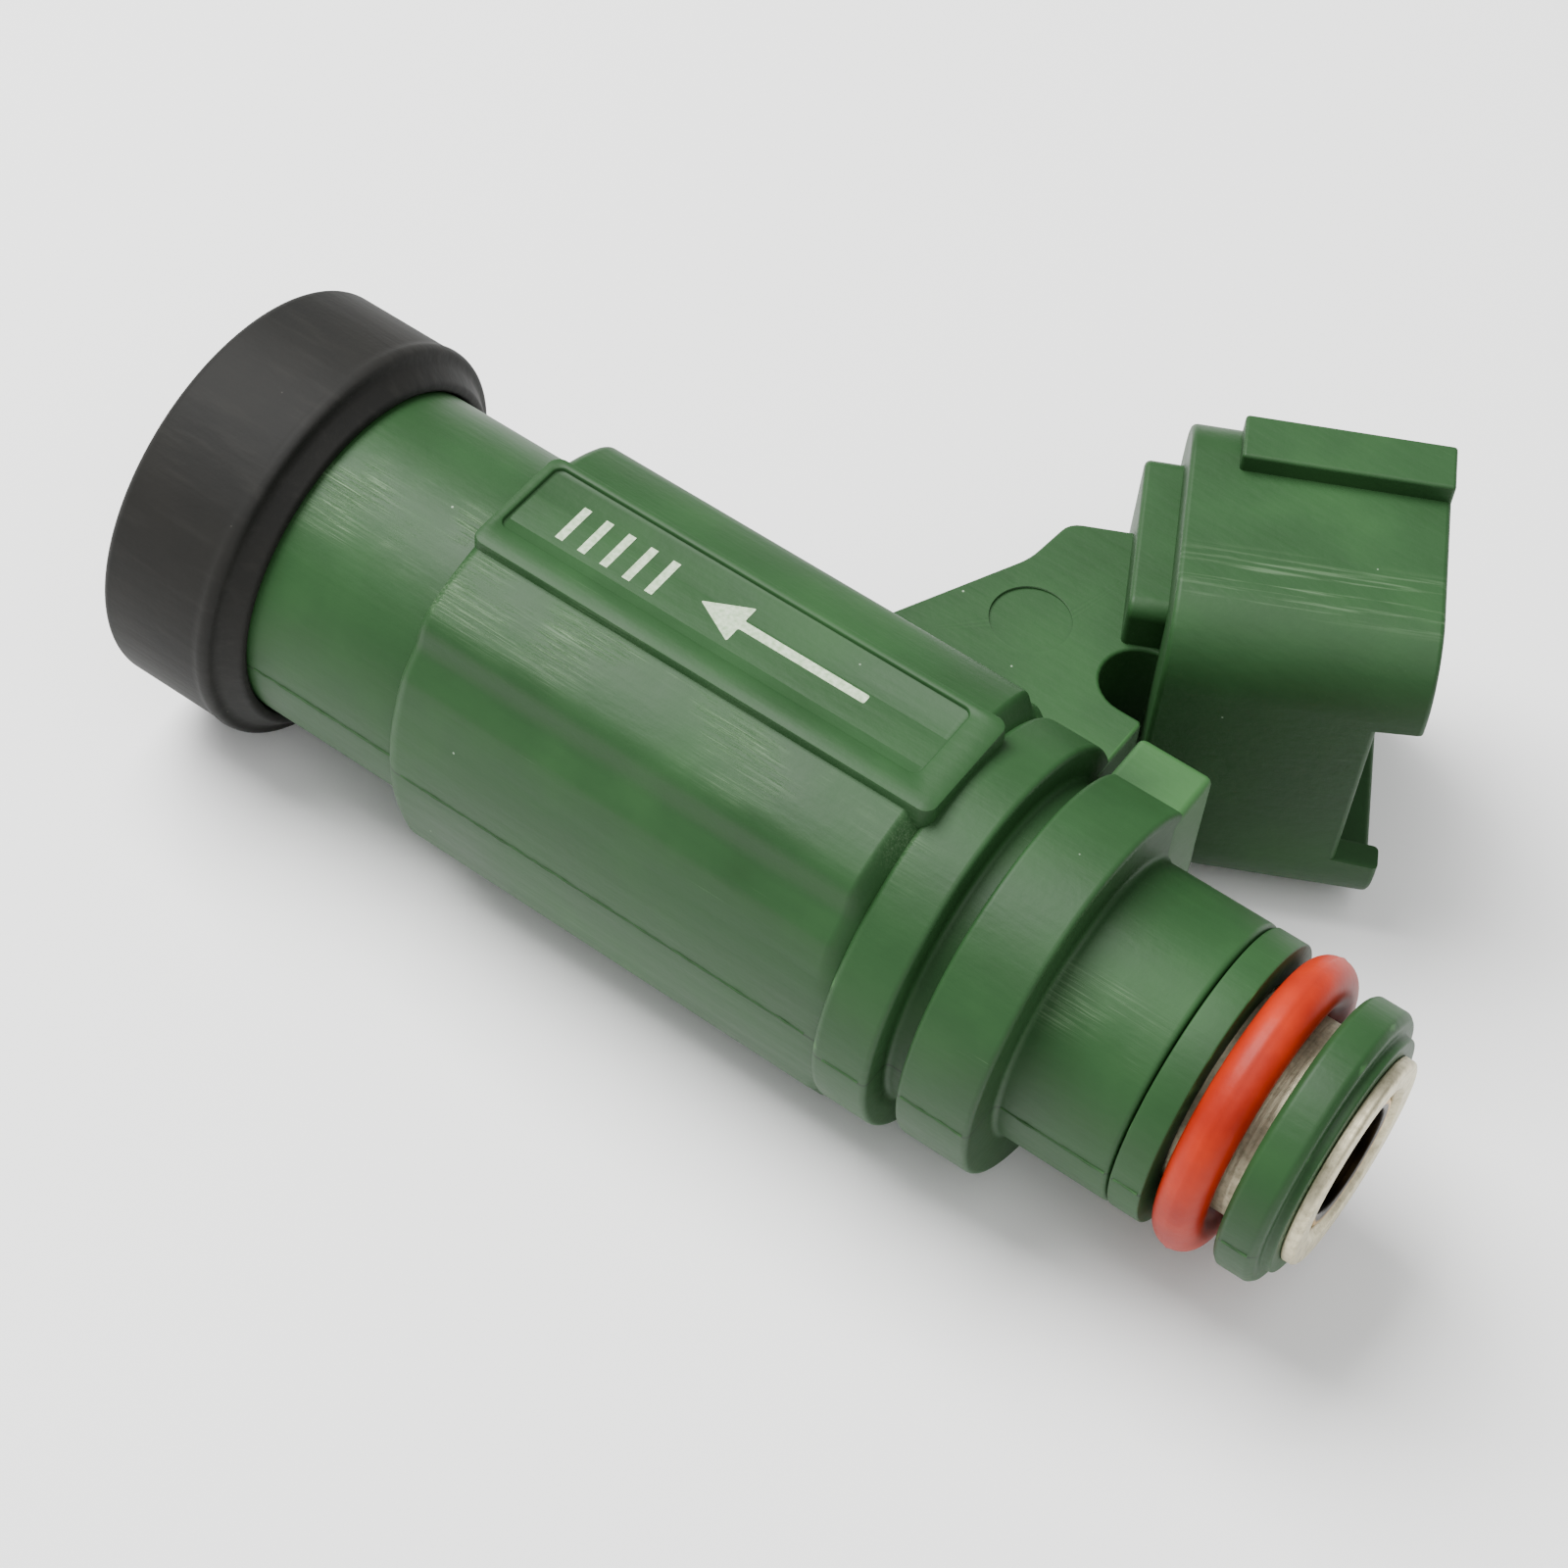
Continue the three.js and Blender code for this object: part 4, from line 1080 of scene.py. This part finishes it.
# %% Flash along both sides of the injector
def parting_flash():
    ring_start, ring_end = station("o_ring_retainer", 0), station("o_ring_retainer", 1)
    side_face = BODY_RADIUS * FLUTES[-1][1]
    near = [
        (INSULATOR_END + 0.3, BODY_START, TUBE_RADIUS), (BODY_START + 1.0, BODY_END - 1.4, side_face),
        (BODY_END + 0.1, COLLAR_END - 0.4, COLLAR_RADIUS),
        (FLANGE_START + 0.3, FLANGE_END - 0.3, FLANGE_RADIUS),
        (FLANGE_END + 0.3, SPIGOT_END - 0.2, SPIGOT_RADIUS),
        (station("backup_ring", 0) + 0.2, station("backup_ring", 1) - 0.2, SPIGOT_RADIUS),
        (ring_start + 0.4, ring_end - 0.9, outer_radius("o_ring_retainer")),
    ]
    far = [near[0], (BODY_START + 1.0, BODY_END - 14.5, side_face), near[4], near[5], near[6]]
    data = bpy.data.curves.new("flash_path", "CURVE")
    data.dimensions = "3D"
    for side, runs in ((-1, near), (1, far)):
        for start, end, radius in runs:
            spline = data.splines.new("POLY")
            spline.points.add(1)
            for point, x in zip(spline.points, (start, end)):
                point.co = (*place(x, side * radius, 0.05), 1)
    path = bpy.data.objects.new("flash_path", data)
    bpy.context.scene.collection.objects.link(path)
    sweep = path.modifiers.new("flash", "NODES")
    sweep.node_group = flash_tree()
    set_input(sweep, "Step", 0.35 * MM)
    set_input(sweep, "Thickness", 0.075 * MM)
    set_input(sweep, "Shake", 0.16 * MM)
    mesh = baked(path, sweep)
    bpy.data.objects.remove(path)
    piece = bpy.data.objects.new("mould_flash", mesh)
    bpy.context.scene.collection.objects.link(piece)
    stands_for(piece, None)


parting_flash()

# %% [markdown]
# ## The etched label
# A laser turns the green surface pale. A plain arrow shows the way that the fuel flows, with a row of tick
# bars beside it. The bars repeat, so a Geometry Nodes tree sets one bar along a line.


# %% Laser-etched finish
def etched_nylon():
    # The laser foams the skin of the nylon, which scatters light and looks chalky.
    material, tree, surface, spot = finish("laser_etched_nylon", "#A9BF9C", 0.7, ior=1.5)
    foam = add(tree, "ShaderNodeTexNoise", {"Vector": spot, "Scale": per_metre(0.25), "Detail": 3})
    base = add(tree, "ShaderNodeValToRGB", {"Fac": foam}, stops=[(0.3, "#8FAA83"), (0.65, "#BACBAE")])
    tree.links.new(base.outputs["Color"], surface.inputs["Base Color"])
    relief(tree, surface, [(foam, 0.01)])
    return material


ETCHED = etched_nylon()
ETCH_LOW, ETCH_HIGH = PANEL_FACE - 0.05, PANEL_FACE + 0.035


# %% Arrow towards the nozzle
def flow_arrow():
    x, y = BODY_START + 17.6, 0.6
    shaft, head = 0.28, 1.25
    outline = [
        (x - 6.5, y), (x - 4.1, y + head), (x - 4.1, y + shaft), (x + 3.2, y + shaft), (x + 3.2, y - shaft),
        (x - 4.1, y - shaft), (x - 4.1, y - head),
    ]
    shell = bmesh.new()
    prism(shell, eased_corners(outline, 0.12), ETCH_LOW, ETCH_HIGH)
    stands_for(shown("label_arrow", shell, ETCHED, 30), None)


flow_arrow()


# %% Tick bars by Geometry Nodes
def bar_tree():
    tree = bpy.data.node_groups.new("row_of_bars", "GeometryNodeTree")
    tree.interface.new_socket("Geometry", in_out="INPUT", socket_type="NodeSocketGeometry")
    tree.interface.new_socket("Count", in_out="INPUT", socket_type="NodeSocketInt")
    for name in ("Start", "Pitch", "Size"):
        tree.interface.new_socket(name, in_out="INPUT", socket_type="NodeSocketVector")
    tree.interface.new_socket("Geometry", in_out="OUTPUT", socket_type="NodeSocketGeometry")
    start = add(tree, "NodeGroupInput")
    row = add(
        tree,
        "GeometryNodeMeshLine",
        {
            "Count": start.outputs["Count"],
            "Start Location": start.outputs["Start"],
            "Offset": start.outputs["Pitch"],
        },
    )
    bar = add(tree, "GeometryNodeMeshCube", {"Size": start.outputs["Size"]})
    bars = add(
        tree, "GeometryNodeInstanceOnPoints", {"Points": row.outputs["Mesh"], "Instance": bar.outputs["Mesh"]}
    )
    real = add(tree, "GeometryNodeRealizeInstances", {"Geometry": bars.outputs["Instances"]})
    coated = add(tree, "GeometryNodeSetMaterial", {"Geometry": real.outputs["Geometry"], "Material": ETCHED})
    end = add(tree, "NodeGroupOutput")
    tree.links.new(coated.outputs["Geometry"], end.inputs["Geometry"])
    return tree


def tick_bars():
    seed_mesh = bpy.data.meshes.new("bars")
    seed = bpy.data.objects.new("bars", seed_mesh)
    bpy.context.scene.collection.objects.link(seed)
    rows = seed.modifiers.new("bars", "NODES")
    rows.node_group = bar_tree()
    first = place(BODY_START + 3.4, 0.6, (ETCH_LOW + ETCH_HIGH) / 2)
    set_input(rows, "Count", 5)
    set_input(rows, "Start", tuple(first))
    set_input(rows, "Pitch", (1.35 * MM, 0, 0))
    set_input(rows, "Size", (0.45 * MM, 2.4 * MM, (ETCH_HIGH - ETCH_LOW) * MM))
    mesh = baked(seed, rows)
    bpy.data.objects.remove(seed)
    piece = bpy.data.objects.new("label_bars", mesh)
    bpy.context.scene.collection.objects.link(piece)
    stands_for(piece, None)


tick_bars()

# %% [markdown]
# ## Inside pieces
# The valve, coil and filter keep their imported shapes, because the moulding hides them or leaves only a
# glimpse down the inlet. Each gets the finish of its slot in the record.

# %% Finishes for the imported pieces
SLOT_FINISH = {
    "moulded_nylon": NYLON,
    "black_rubber": BLACK_RUBBER,
    "orange_rubber": ORANGE_RUBBER,
    "steel": STEEL,
    "brass": BRASS,
    "copper": COPPER,
    "tinned_copper": TIN,
    "natural_nylon": NATURAL_NYLON,
    "screen_nylon": SCREEN_NYLON,
}
for subpart in frame["record"]["subparts"]:
    node = frame["nodes"][subpart["node"]]
    node.data.materials.clear()
    node.data.materials.append(SLOT_FINISH[subpart["material_slot"]])
print("finished", len(frame["nodes"]), "packed pieces")
